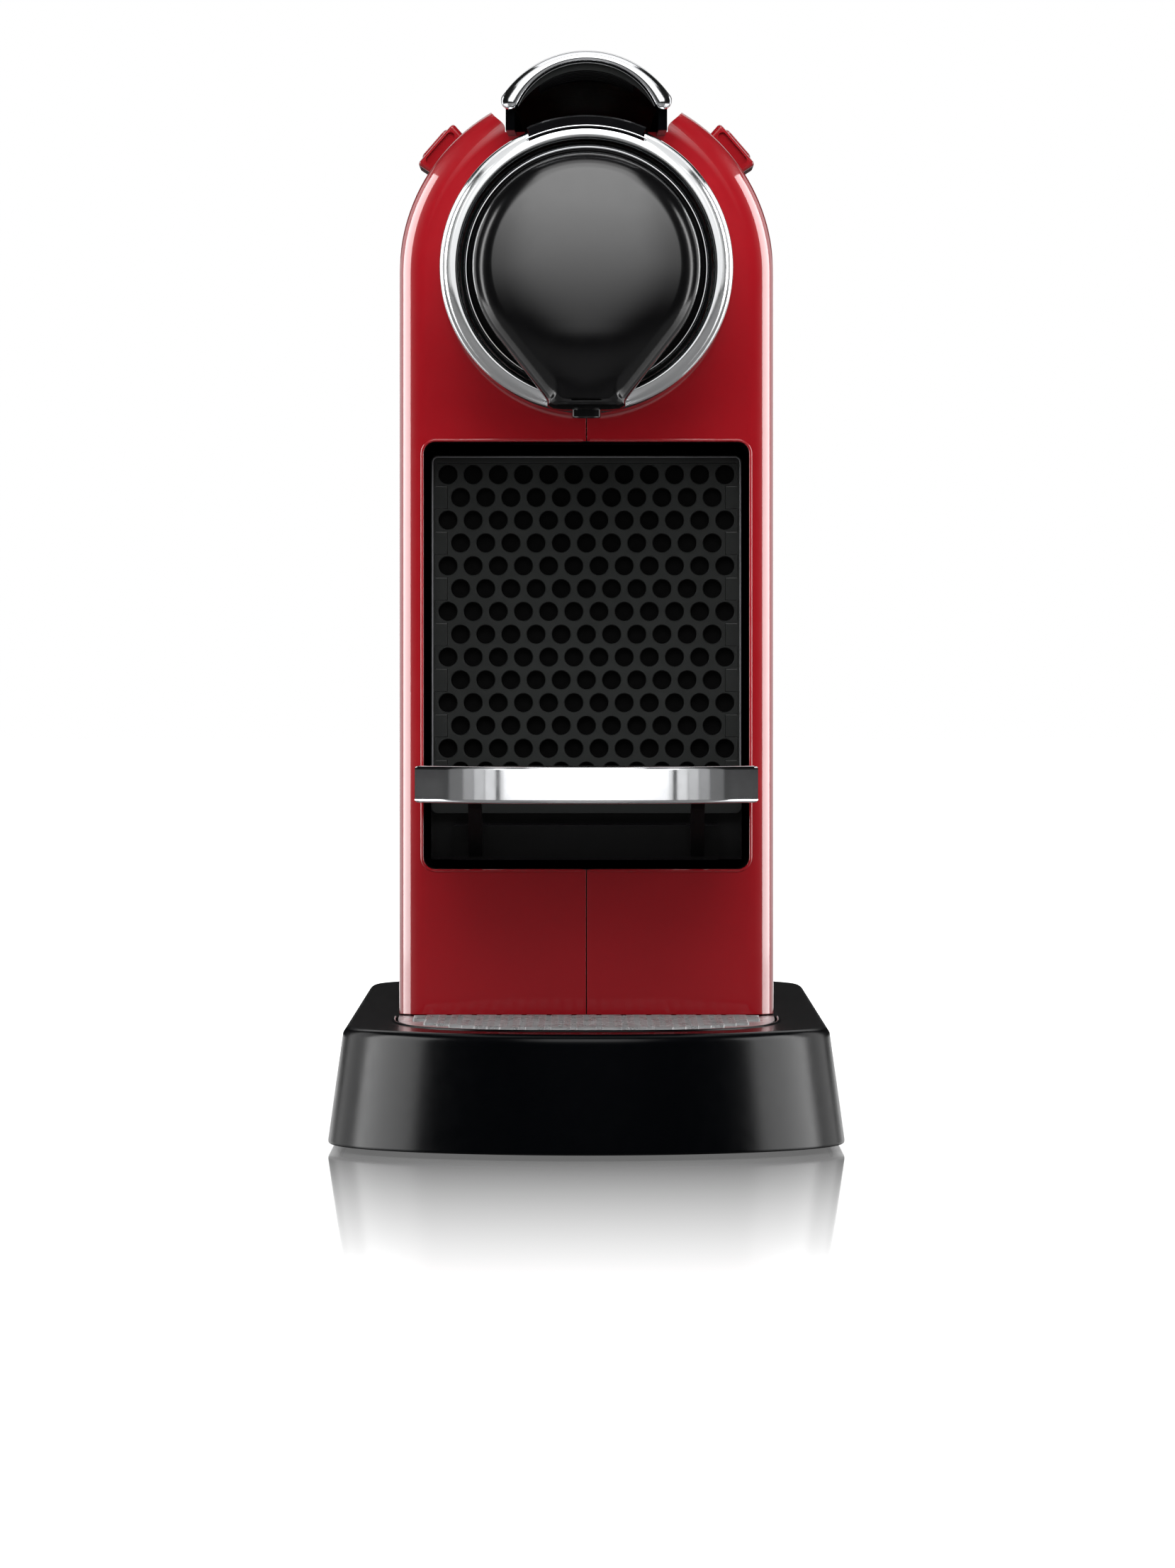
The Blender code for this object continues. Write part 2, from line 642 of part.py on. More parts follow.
def bar_outline(inset, half_width, thick):
    radius = (BAR_HALF_WIDTH ** 2 + BAR_SAGITTA ** 2) / (2 * BAR_SAGITTA)
    centre = BAR_FRONT + radius
    outer = radius - inset
    reach = math.degrees(math.asin(half_width / radius))
    outline = arc(0, centre, outer, outer, 270 - reach, 270 + reach, 16)
    if thick:
        outline += arc(0, centre, outer - thick, outer - thick, 270 + reach, 270 - reach, 16)
    return outline


def make_unit(black, steel):
    half = PANEL_HALF_WIDTH
    behind = PANEL_FRONT + PANEL_THICK + GAP
    front = block((-half, PANEL_FRONT, PANEL_BOTTOM), (half, PANEL_FRONT + PANEL_THICK, PANEL_TOP))
    solid("container_front", front, black, UNIT_ORIGIN)
    outside = block((-38.5, behind, 101), (38.5, UNIT_REAR, 172))
    container = solid("capsule_container", outside, black, UNIT_ORIGIN)
    cut(container, block((-36.7, behind + UNIT_WALL, 102.8), (36.7, UNIT_REAR - UNIT_WALL, 180)))
    grate = solid("capsule_grate", block((-38.5, behind, 98.2), (38.5, UNIT_REAR, 100.7)), black, UNIT_ORIGIN)
    for i in range(6):
        y = -50.0 + 17.0 * i
        cut(grate, block((-32, y, 90), (32, y + 5, 110)))
    tray = solid("unit_drip_tray", block((-half, behind, 71.0), (half, UNIT_REAR, 97.9)), black, UNIT_ORIGIN)
    join(tray, block((-34.3, PANEL_FRONT - 3.0, 71.0), (34.3, PANEL_FRONT + 4.0, 80.0)))
    inner_half = half - UNIT_WALL
    cut(tray, block((-inner_half, behind + UNIT_WALL, 72.8), (inner_half, UNIT_REAR - UNIT_WALL, 110)))
    for side in (-1, 1):
        low, high = sorted((side * 27.0, side * 30.5))
        lug = [(PANEL_FRONT + 1.0, 72.0), (PANEL_FRONT + 1.0, 79.0), (-78.0, 92.6), (-80.5, 94.2)]
        lug += arc(CUP_HINGE[1], CUP_HINGE[2], 4.2, 4.2, 90, 270, 8) + [(-79.0, 84.5), (-66.0, 72.0)]
        join(tray, prism(lug, "X", low, high))
        cut(tray, cylinder(1.9, CUP_HINGE, "X", low - 0.5, high + 0.5, 12))


def make_cup_support(black, chrome, steel):
    bar = prism(bar_outline(0, BAR_HALF_WIDTH, BAR_THICK), "Z", BAR_BOTTOM, BAR_TOP)
    solid("cup_support_bar", bar, chrome, CUP_HINGE)
    half = 41.0
    outline = bar_outline(BAR_THICK + GAP, half, 0) + [(half, -78.0), (-half, -78.0)]
    tray = solid("cup_support_tray", prism(outline, "Z", 87.6, 95.6), black, CUP_HINGE)
    well = bar_outline(BAR_THICK + 2.3, half - 2.2, 0) + [(half - 2.2, -90.0), (2.2 - half, -90.0)]
    cut(tray, prism(well, "Z", 91.2, 100))
    for side in (-1, 1):
        low, high = sorted((side * 26.4, side * 31.1))
        cut(tray, block((low, -87.2, 80), (high, -70, 100)))
        cut(tray, cylinder(1.9, CUP_HINGE, "X", low - 4.0, high + 4.0, 12))
        pin_low, pin_high = sorted((side * 23.6, side * 33.9))
        name = "cup_hinge_pin_" + ("left" if side < 0 else "right")
        solid(name, cylinder(1.6, CUP_HINGE, "X", pin_low, pin_high, 12), steel)
    sheet = bar_outline(BAR_THICK + 2.7, half - 2.6, 0) + [(half - 2.6, -90.4), (2.6 - half, -90.4)]
    grid = solid("cup_support_grid", prism(sheet, "Z", 93.4, 94.8), steel, CUP_HINGE)
    for i in range(6):
        y = -99.0 - 9.0 * i
        cut(grid, block((-33, y - 2.2, 90), (33, y + 2.2, 100)))


# ---------------------------------------------------------------- tank

def tank_plan(inset):
    """Square front corners and large rear corners."""
    half, radius = TANK_HALF_WIDTH - inset, 20.0 - inset
    front, rear = TANK_FRONT + inset, TANK_REAR - inset
    return [(-half, front), (half, front)] + arc(half - radius, rear - radius, radius, radius, 0, 90, 7) \
        + arc(radius - half, rear - radius, radius, radius, 90, 180, 7)


def hinge_lug(low, high, rise):
    """A knuckle round the lid's hinge that reaches the wall above it (rise > 0) or below it."""
    y, z = LID_HINGE[1:]
    side = 1 if rise > 0 else -1
    outline = [(TANK_REAR - 1.5, z + side * 3.5), (TANK_REAR - 1.5, z + rise)]
    outline += arc(y, z, 3.0, 3.0, side * 60, -side * 120, 8)
    return prism(outline, "X", low, high)


def make_tank(clear, black, steel):
    tank = solid("water_tank", prism(tank_plan(0), "Z", TANK_BOTTOM, TANK_TOP - GAP), clear, TANK_VALVE)
    cut(tank, prism(tank_plan(TANK_WALL), "Z", TANK_BOTTOM + 3, TANK_TOP + 5))
    join(tank, hinge_lug(-16, -8.3, -9), hinge_lug(8.3, 16, -9))
    cut(tank, cylinder(6.8, TANK_VALVE, "Z", 20, 60, 20))
    cut(tank, cylinder(1.8, LID_HINGE, "X", -30, 30, 12))

    lid_arch = arc(0, TANK_TOP, TANK_HALF_WIDTH, TANK_HALF_WIDTH, 0, 180, 24)
    lid = solid("tank_lid", prism(lid_arch, "Y", TANK_FRONT, TANK_REAR), black, LID_HINGE)
    combine(lid, prism(tank_plan(0), "Z", TANK_TOP - 10, TANK_TOP + 80), "INTERSECT")
    inner_arch = arc(0, TANK_TOP - 1, TANK_HALF_WIDTH - 2.4, TANK_HALF_WIDTH - 2.4, 0, 180, 24)
    cut(lid, prism(inner_arch, "Y", TANK_FRONT + 2.2, TANK_REAR - 12.0))
    join(lid, hinge_lug(-8.0, 8.0, 9))
    cut(lid, cylinder(1.8, LID_HINGE, "X", -30, 30, 12))
    solid("tank_lid_pin", cylinder(1.5, LID_HINGE, "X", -16.5, 16.5, 12), steel)

    valve = [(2.5, 33.0), (6.4, 33.0), (6.4, 40.8), (11.0, 40.8), (11.0, 43.5), (2.5, 43.5)]
    solid("tank_valve", turned(valve, TANK_VALVE, "Z", 20), black)
    dock = solid("tank_dock", prism(tank_plan(4.0), "Z", BASE_TOP + GAP, TANK_BOTTOM - GAP), black)
    cut(dock, cylinder(9.0, TANK_VALVE, "Z", 20, 60, 24))


# ---------------------------------------------------------------- water and power

def make_inside(steel, black, rubber, copper, green):
    x, y = -18.0, 88.0
    body = [(0, 46), (13, 46), (13, 73), (9, 73), (9, 116), (6.5, 116), (6.5, 138), (0, 138)]
    solid("pump_body", turned(body, (x, y, 0), "Z", 20), steel)
    coil = solid("pump_coil", block((x - 18, y - 18, 74), (x + 18, y + 18, 114)), copper)
    cut(coil, cylinder(9.4, (x, y, 0), "Z", 60, 130, 20))
    solid("pump_mount", cylinder(14, (x, y, 0), "Z", 40.0, 45.7, 20), rubber)
    heater = prism(rounded_rectangle(-30, 64, 30, 110, 10), "Z", 150, 198)
    solid("thermoblock", heater, steel)
    thermostat = turned([(0, 198.3), (8, 198.3), (8, 201), (5, 203.5), (0, 203.5)], (14, 90, 0), "Z", 16)
    solid("thermostat", thermostat, black)
    solid("flow_meter", block((8, 84, 44), (36, 104, 60)), black)
    board = solid("control_board", block((41.0, 64, 70), (42.6, 112, 140)), green)
    capacitor = ((30, 68, 76), (84, 92))
    relay = ((34, 90, 100), (106, 118))
    connector = ((36, 70, 124), (100, 132))
    for low, (rear, top) in (capacitor, relay, connector):
        join(board, block(low, (41.5, rear, top)))

    pipe("tank_hose", [(0, 146, 32.6), (0, 146, 26), (2, 142, 18), (8, 130, 14), (14, 112, 14), (20, 97, 18),
                       (22, 92, 26), (22, 92, 43.6)], 2.5, rubber)
    pipe("pump_hose", [(7.5, 92, 52), (4, 92, 52), (-1, 89, 55), (-4.3, 88.5, 55)], 2.5, rubber)
    pipe("heater_hose", [(x, y, 138.3), (x, y, 141), (-15, 87, 144.5), (-12, 86, 147), (-12, 86, 149.7)],
         2.3, rubber)
    pipe("brew_hose", [(-8, 78, 198.3), (-8, 78, 202), (-6, 72, 206), (-2, 62, 205), (0, 54, 204),
                       (0, 43.8, 204)], 2.3, rubber)


def main():
    clear_scene()
    red = material("red_shell", (0.36, 0.012, 0.018), 0.28)
    black = material("black_plastic", (0.012, 0.012, 0.013), 0.45)
    gloss_black = material("gloss_black", (0.008, 0.008, 0.009), 0.08)
    chrome = material("chrome", (0.85, 0.86, 0.88), 0.07, 1.0)
    steel = material("steel", (0.55, 0.56, 0.58), 0.32, 1.0)
    rubber = material("rubber", (0.02, 0.02, 0.02), 0.8)
    clear = material("smoked_clear", (0.10, 0.10, 0.11), 0.1, 0.0, 0.4)
    grey = material("grey_plastic", (0.18, 0.18, 0.19), 0.5)
    copper = material("copper_winding", (0.45, 0.18, 0.06), 0.4, 1.0)
    green = material("board_green", (0.02, 0.12, 0.05), 0.5)
    make_base(black, rubber, steel)
    make_body(red, black)
    make_head(chrome, gloss_black, black)
    make_brew_unit(black, steel, grey)
    make_lever(chrome, black, steel)
    make_buttons(red, black)
    make_unit(black, steel)
    make_cup_support(black, chrome, steel)
    make_tank(clear, black, steel)
    make_inside(steel, black, rubber, copper, green)


main()
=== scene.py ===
"""Looks of the capsule espresso machine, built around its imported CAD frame.

Lengths are in millimetres and are turned into metres when a mesh is made. X is the width, the front
faces -Y and +Z is up, as in the frame.
"""
import math

import bmesh
import bpy
from mathutils import Matrix, Vector


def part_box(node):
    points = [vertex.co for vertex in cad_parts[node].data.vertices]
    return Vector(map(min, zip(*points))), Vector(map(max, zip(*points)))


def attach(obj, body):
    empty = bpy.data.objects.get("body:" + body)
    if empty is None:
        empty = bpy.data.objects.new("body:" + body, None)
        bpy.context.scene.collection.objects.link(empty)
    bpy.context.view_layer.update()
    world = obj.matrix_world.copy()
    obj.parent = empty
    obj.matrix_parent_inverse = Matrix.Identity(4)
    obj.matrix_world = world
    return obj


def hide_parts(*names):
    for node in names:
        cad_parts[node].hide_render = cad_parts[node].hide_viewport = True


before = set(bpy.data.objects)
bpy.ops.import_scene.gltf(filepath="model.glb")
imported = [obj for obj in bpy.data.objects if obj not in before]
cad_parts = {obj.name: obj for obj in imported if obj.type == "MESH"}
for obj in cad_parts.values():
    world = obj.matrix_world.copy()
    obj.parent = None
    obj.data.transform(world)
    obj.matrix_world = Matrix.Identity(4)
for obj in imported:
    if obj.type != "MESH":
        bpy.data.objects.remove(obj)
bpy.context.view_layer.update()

MM = 0.001


def low(node):
    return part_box(node)[0] / MM


def high(node):
    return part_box(node)[1] / MM


# Driving sizes, read from the frame where a node gives them
FACE = low("body_shell_right").y
BODY_REAR = high("body_shell_right").y
BODY_HALF = high("body_shell_right").x
BODY_FOOT = low("body_shell_right").z
WALL = 2.5
ARCH_Z = 223.0
ROUNDING = 7.0
RECESS_HALF = 42.2
RECESS_LOW = 68.7
RECESS_HIGH = 179.4
CHANNEL_REAR = 57.3
LIP_HALF = 21.0
SEAM_GAP = 0.15
RING_RADIUS = high("head_ring").x
RING_FRONT = low("head_ring").y
HEAD_Z = (low("head_plate").z + high("head_plate").z) / 2
DOME_RADIUS = 29.0
DOME_ROLL = 6.5
DOME_CROWN = 2.2
ROLL_END = math.radians(78)
DOME_FLAT = DOME_RADIUS - DOME_ROLL * (1 - math.cos(ROLL_END))
SPOUT_FOOT = 186.6
SPOUT_HALF = 9.9
PIVOT = Vector((0, 36.0, 254.0))
LEVER_TIP = -104.0
COVER_WALL = 1.7
BUTTON_ANGLE = 49.0
BUTTON_Y = -46.0
BASE_TOP = high("base_plinth").z
BASE_LOW = low("base_plinth").z
BASE_HALF = high("base_plinth").x
BASE_LENGTH = high("base_plinth").y
BASE_END = 55.0
WELL_BACK = -83.0
WELL_HALF = 49.0
WELL_DEPTH = 81.0
WELL_POWER = 3.0
VISOR_HALF = 21.8
VISOR_MIDDLE = 3.1
VISOR_END = 4.7
GLAND_HOLE = 6.3
HOSE_HOLES = ((0, 146), (22, 92))
TANK_REAR = 174.0
LID_HINGE = Vector((0, 177.5, 222.0))

# The cup support's bar: half its width, how far it bows forward and where its front lies
BAR_HALF = 42.9
BAR_BOW = 18.0
BAR_FRONT = -165.0

# The perforated front: its grid of cells, and each pocket's radii and depths from rim to floor
POCKET_PITCH_X, POCKET_PITCH_Z = 6.55, 5.93
POCKET_COLUMNS, POCKET_ROWS = 12, 14
POCKET_TOP = 171.0
POCKET_SIDES = 24
POCKET_PROFILE = ((2.62, 0), (2.42, 0.25), (2.38, 2.2))

# Camera: far back, with its axis level and below the middle of the machine
CAMERA_Y = -2286.0
CAMERA_Z = 127.1
LENS = 196.6
SHIFT = (0.0007, -0.0895)

# Light cards. Each has the two ends of the angle it spans, in degrees, and its brightness
HIGH_CARDS = ((10, 14, 0.15), (14, 17, 0.35), (17, 20, 0.65), (20, 24, 1.1),
              (24, 28, 1.8), (28, 33, 2.8), (33, 39, 4.2), (39, 62, 6.0))
BEND_CARDS = ((44, 50, 0.85), (50, 56, 0.6), (56, 62, 0.35), (62, 70, 0.12))
WALL_DISTANCE = 2900
WALL_HEIGHTS = (-4, 40)


# -------- outlines

def between(first, last, share):
    return first + (last - first) * share


def arc(cx, cy, rx, ry, start, end, steps):
    points = []
    for i in range(steps + 1):
        a = math.radians(start + (end - start) * i / steps)
        points.append((cx + rx * math.cos(a), cy + ry * math.sin(a)))
    return points


def rounded_rectangle(x0, y0, x1, y1, radius, steps=8):
    corners = [(x1, y0, -90), (x1, y1, 0), (x0, y1, 90), (x0, y0, 180)]
    points = []
    for x, y, start in corners:
        cx = x - radius if x == x1 else x + radius
        cy = y - radius if y == y1 else y + radius
        points += arc(cx, cy, radius, radius, start, start + 90, steps)
    return points


def arch(half, foot, steps=72):
    return [(-half, foot), (half, foot)] + arc(0, ARCH_Z, half, half, 0, 180, steps)


def long_oval(inset, steps=56):
    straight = BASE_LENGTH - BASE_END
    half, end = BASE_HALF - inset, BASE_END - inset
    return arc(0, -straight, half, end, 180, 360, steps) + arc(0, straight, half, end, 0, 180, steps)


def half_oval(half, depth, back, steps=64):
    """Half of a squared-off oval, whose straight side faces the body."""
    points = []
    for i in range(steps + 1):
        a = math.pi * (1 + i / steps)
        across, along = math.cos(a), abs(math.sin(a))
        x = math.copysign(abs(across) ** (2 / WELL_POWER), across)
        points.append((half * x, back - depth * along ** (2 / WELL_POWER)))
    return points


def drop(radius, foot_half, foot, steps=80):
    """A circle round the head's centre, whose sides run down through hollow curves to a narrow foot."""
    lean = 38.0
    start = math.radians(-lean)
    side = Vector((radius * math.cos(start), HEAD_Z + radius * math.sin(start)))
    slope = Vector((math.sin(start), -math.cos(start)))
    bend = side + slope * (side.x - foot_half) / -slope.x
    foot_top = Vector((foot_half, min(foot + 1.8, bend.y - 0.4)))
    right = [(foot_half * 0.55, foot - 0.25), (foot_half * 0.85, foot), (foot_half, foot + 0.9)]
    right.append(tuple(foot_top))
    near_bend = bend + (side - bend) * 0.10
    for i in range(1, 8):
        t = i / 8
        right.append(tuple(foot_top * (1 - t) ** 2 + bend * 2 * t * (1 - t) + near_bend * t * t))
    for i in range(10):
        right.append(tuple(near_bend + (side - near_bend) * i / 10))
    left = [(-x, z) for x, z in reversed(right)]
    return right + arc(0, HEAD_Z, radius, radius, -lean, 180 + lean, steps) + left


# -------- meshes

def loft(rings):
    """Joins rings of equally many points into a closed shape with flat ends."""
    bm = bmesh.new()
    rows = [[bm.verts.new(Vector(p) * MM) for p in ring] for ring in rings]
    count = len(rings[0])
    for lower, upper in zip(rows, rows[1:]):
        for i in range(count):
            j = (i + 1) % count
            bm.faces.new((lower[i], lower[j], upper[j], upper[i]))
    bm.faces.new(rows[0][::-1])
    bm.faces.new(rows[-1])
    return bm


def prism(outline, axis, start, end):
    """Pushes an outline along an axis. Its points give the other two coordinates, in order."""
    at = "XYZ".index(axis)
    return loft([[(*point[:at], level, *point[at:]) for point in outline] for level in (start, end)])


def block(a, b):
    return prism([(a[0], a[1]), (b[0], a[1]), (b[0], b[1]), (a[0], b[1])], "Z", a[2], b[2])


def turned(profile, centre, axis, steps=96):
    """Turns a closed profile of (radius, level) points about an axis."""
    first, second, along = {"X": (1, 2, 0), "Y": (0, 2, 1), "Z": (0, 1, 2)}[axis]
    bm = bmesh.new()
    rows = []
    for i in range(steps):
        a = 2 * math.pi * i / steps
        row = []
        for radius, level in profile:
            p = Vector((0, 0, 0))
            p[first] = centre[first] + radius * math.cos(a)
            p[second] = centre[second] + radius * math.sin(a)
            p[along] = level
            row.append(bm.verts.new(p * MM))
        rows.append(row)
    count = len(profile)
    for i in range(steps):
        here, there = rows[i], rows[(i + 1) % steps]
        for k in range(count):
            m = (k + 1) % count
            if max(profile[k][0], profile[m][0]) > 0:
                bm.faces.new((here[k], here[m], there[m], there[k]))
    bmesh.ops.remove_doubles(bm, verts=bm.verts, dist=1e-6)
    return bm


def cylinder(radius, centre, axis, start, end, steps=48):
    return turned([(0, start), (radius, start), (radius, end), (0, end)], centre, axis, steps)


def merge(*parts):
    """Several shapes as one mesh."""
    whole = bmesh.new()
    for part in parts:
        mesh = bpy.data.meshes.new("part")
        part.to_mesh(mesh)
        part.free()
        whole.from_mesh(mesh)
        bpy.data.meshes.remove(mesh)
    return whole


def lean_over(bm, degrees):
    """Leans a shape made at the top of the arch over to a shoulder."""
    turn = Matrix.Rotation(math.radians(degrees), 3, "Y")
    bmesh.ops.rotate(bm, verts=bm.verts, cent=Vector((0, 0, ARCH_Z)) * MM, matrix=turn)
    return bm


def add_to_scene(obj):
    bpy.context.scene.collection.objects.link(obj)


def make(name, bm, material, angle=32):
    bmesh.ops.recalc_face_normals(bm, faces=bm.faces)
    mesh = bpy.data.meshes.new(name)
    bm.to_mesh(mesh)
    bm.free()
    mesh.materials.append(material)
    mesh.shade_smooth()
    mesh.set_sharp_from_angle(angle=math.radians(angle))
    obj = bpy.data.objects.new(name, mesh)
    add_to_scene(obj)
    even_normals(obj)
    return obj


def even_normals(obj):
    """Keeps flat faces flat where they meet a rounded edge."""
    step = obj.modifiers.new("normals", "WEIGHTED_NORMAL")
    step.mode = "FACE_AREA_WITH_ANGLE"
    step.weight = 80
    step.keep_sharp = True


def carve(obj, bm, operation="DIFFERENCE"):
    """Cuts a shape from the piece, or joins it on, and keeps only the result."""
    bmesh.ops.recalc_face_normals(bm, faces=bm.faces)
    mesh = bpy.data.meshes.new("tool")
    bm.to_mesh(mesh)
    bm.free()
    tool = bpy.data.objects.new("tool", mesh)
    add_to_scene(tool)
    carve_with(obj, tool, operation)


def carve_with(obj, tool, operation="DIFFERENCE"):
    obj.modifiers.clear()
    tool.modifiers.clear()
    step = obj.modifiers.new("carve", "BOOLEAN")
    step.operation = operation
    step.solver = "EXACT"
    step.object = tool
    settle(obj)
    bpy.data.objects.remove(tool)


def settle(obj):
    """Applies the modifiers."""
    graph = bpy.context.evaluated_depsgraph_get()
    result = bpy.data.meshes.new_from_object(obj.evaluated_get(graph))
    obj.modifiers.clear()
    obj.data = result
    even_normals(obj)


def sharpen(obj, angle):
    obj.data.set_sharp_from_angle(angle=math.radians(angle))


def soften(obj, width, segments=3, angle=35, sharp=40):
    """Rounds the edges, and keeps the flat faces flat."""
    obj.modifiers.clear()
    step = obj.modifiers.new("round", "BEVEL")
    step.width = width * MM
    step.segments = segments
    step.limit_method = "ANGLE"
    step.angle_limit = math.radians(angle)
    step.use_clamp_overlap = True
    step.miter_outer = "MITER_ARC"
    settle(obj)
    obj.data.shade_smooth()
    sharpen(obj, sharp)


def wire(name, points, radius, material, sides=8):
    """A thin rod along points, with flat ends."""
    points = [Vector(point) for point in points]
    across = (points[1] - points[0]).orthogonal()
    rings = []
    for i, point in enumerate(points):
        before, after = points[max(0, i - 1)], points[min(len(points) - 1, i + 1)]
        along = (after - before).normalized()
        across = (across - along * across.dot(along)).normalized()
        other = along.cross(across)
        ring = []
        for k in range(sides):
            a = 2 * math.pi * k / sides
            ring.append(point + radius * (across * math.cos(a) + other * math.sin(a)))
        rings.append(ring)
    return make(name, loft(rings), material, 60)


def place(obj, body, slot, *nodes):
    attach(obj, body)
    if nodes:
        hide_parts(*nodes)
    return obj


# -------- materials

def start_material(name):
    material = bpy.data.materials.new(name)
    material.use_nodes = True
    tree = material.node_tree
    shader = tree.nodes["Principled BSDF"]
    return material, tree, shader, tree.nodes.new("ShaderNodeTexCoord").outputs["Object"]


def fill(node, values):
    for name, value in values.items():
        node.inputs[name].default_value = value


def add_node(tree, kind, values, feeds):
    """A shader node with set values, and with inputs that other nodes feed."""
    node = tree.nodes.new("ShaderNode" + kind)
    fill(node, values)
    for name, source in feeds.items():
        tree.links.new(source, node.inputs[name])
    return node


def noise(tree, where, scale, detail=3.0, stretch=(1, 1, 1)):
    at = add_node(tree, "Mapping", {"Scale": stretch}, {"Vector": where}).outputs["Vector"]
    return add_node(tree, "TexNoise", {"Scale": scale, "Detail": detail}, {"Vector": at}).outputs["Fac"]


def map_range(tree, value, low_in, high_in, low_out, high_out):
    values = {"From Min": low_in, "From Max": high_in, "To Min": low_out, "To Max": high_out}
    return add_node(tree, "MapRange", values, {"Value": value}).outputs["Result"]


def spread(tree, value, lowest, highest):
    return map_range(tree, value, 0.3, 0.7, lowest, highest)


def tinted(tree, value, first, second):
    ramp = tree.nodes.new("ShaderNodeValToRGB")
    ramp.color_ramp.elements[0].position = 0.3
    ramp.color_ramp.elements[0].color = (*first, 1)
    ramp.color_ramp.elements[1].position = 0.7
    ramp.color_ramp.elements[1].color = (*second, 1)
    tree.links.new(value, ramp.inputs["Fac"])
    return ramp.outputs["Color"]


def bump(tree, shader, value, depth):
    node = add_node(tree, "Bump", {"Distance": depth * MM, "Strength": 1.0}, {"Height": value})
    tree.links.new(node.outputs["Normal"], shader.inputs["Normal"])


def plain(name, colour, roughness, metallic=0.0, tint=0.08, grain=1600, grain_depth=0.01, rough_spread=0.04,
          coat=0.0, coat_roughness=0.05, specular=0.5, stretch=(1, 1, 1)):
    """Moulded plastic, rubber or metal: slight mottling, a fine grain and uneven gloss."""
    material, tree, shader, where = start_material(name)
    darker = tuple(c * (1 - tint) for c in colour)
    lighter = tuple(min(1.0, c * (1 + tint)) for c in colour)
    tree.links.new(tinted(tree, noise(tree, where, 35), darker, lighter), shader.inputs["Base Color"])
    patches = noise(tree, where, 260, 4, stretch)
    gloss = spread(tree, patches, max(0.01, roughness - rough_spread), roughness + rough_spread)
    tree.links.new(gloss, shader.inputs["Roughness"])
    fill(shader, {"Metallic": metallic, "Specular IOR Level": specular})
    fill(shader, {"Coat Weight": coat, "Coat Roughness": coat_roughness})
    bump(tree, shader, noise(tree, where, grain, 2, stretch), grain_depth)
    return material


def clear_plastic(name, colour, roughness):
    material, tree, shader, where = start_material(name)
    lighter = tuple(c * 1.15 for c in colour)
    tree.links.new(tinted(tree, noise(tree, where, 20), colour, lighter), shader.inputs["Base Color"])
    gloss = spread(tree, noise(tree, where, 200), roughness, roughness + 0.05)
    tree.links.new(gloss, shader.inputs["Roughness"])
    fill(shader, {"Transmission Weight": 0.92, "IOR": 1.2})
    bump(tree, shader, noise(tree, where, 90, 2), 0.03)
    return material


def wound_wire(name, colour):
    """Turns of varnished wire lying side by side."""
    material, tree, shader, where = start_material(name)
    wave = add_node(tree, "TexWave", {"Scale": 400, "Distortion": 0.6}, {"Vector": where})
    wave.bands_direction = "Z"
    darker = tuple(c * 0.45 for c in colour)
    tree.links.new(tinted(tree, wave.outputs["Fac"], darker, colour), shader.inputs["Base Color"])
    fill(shader, {"Metallic": 0.9, "Roughness": 0.35})
    bump(tree, shader, wave.outputs["Fac"], 0.3)
    return material


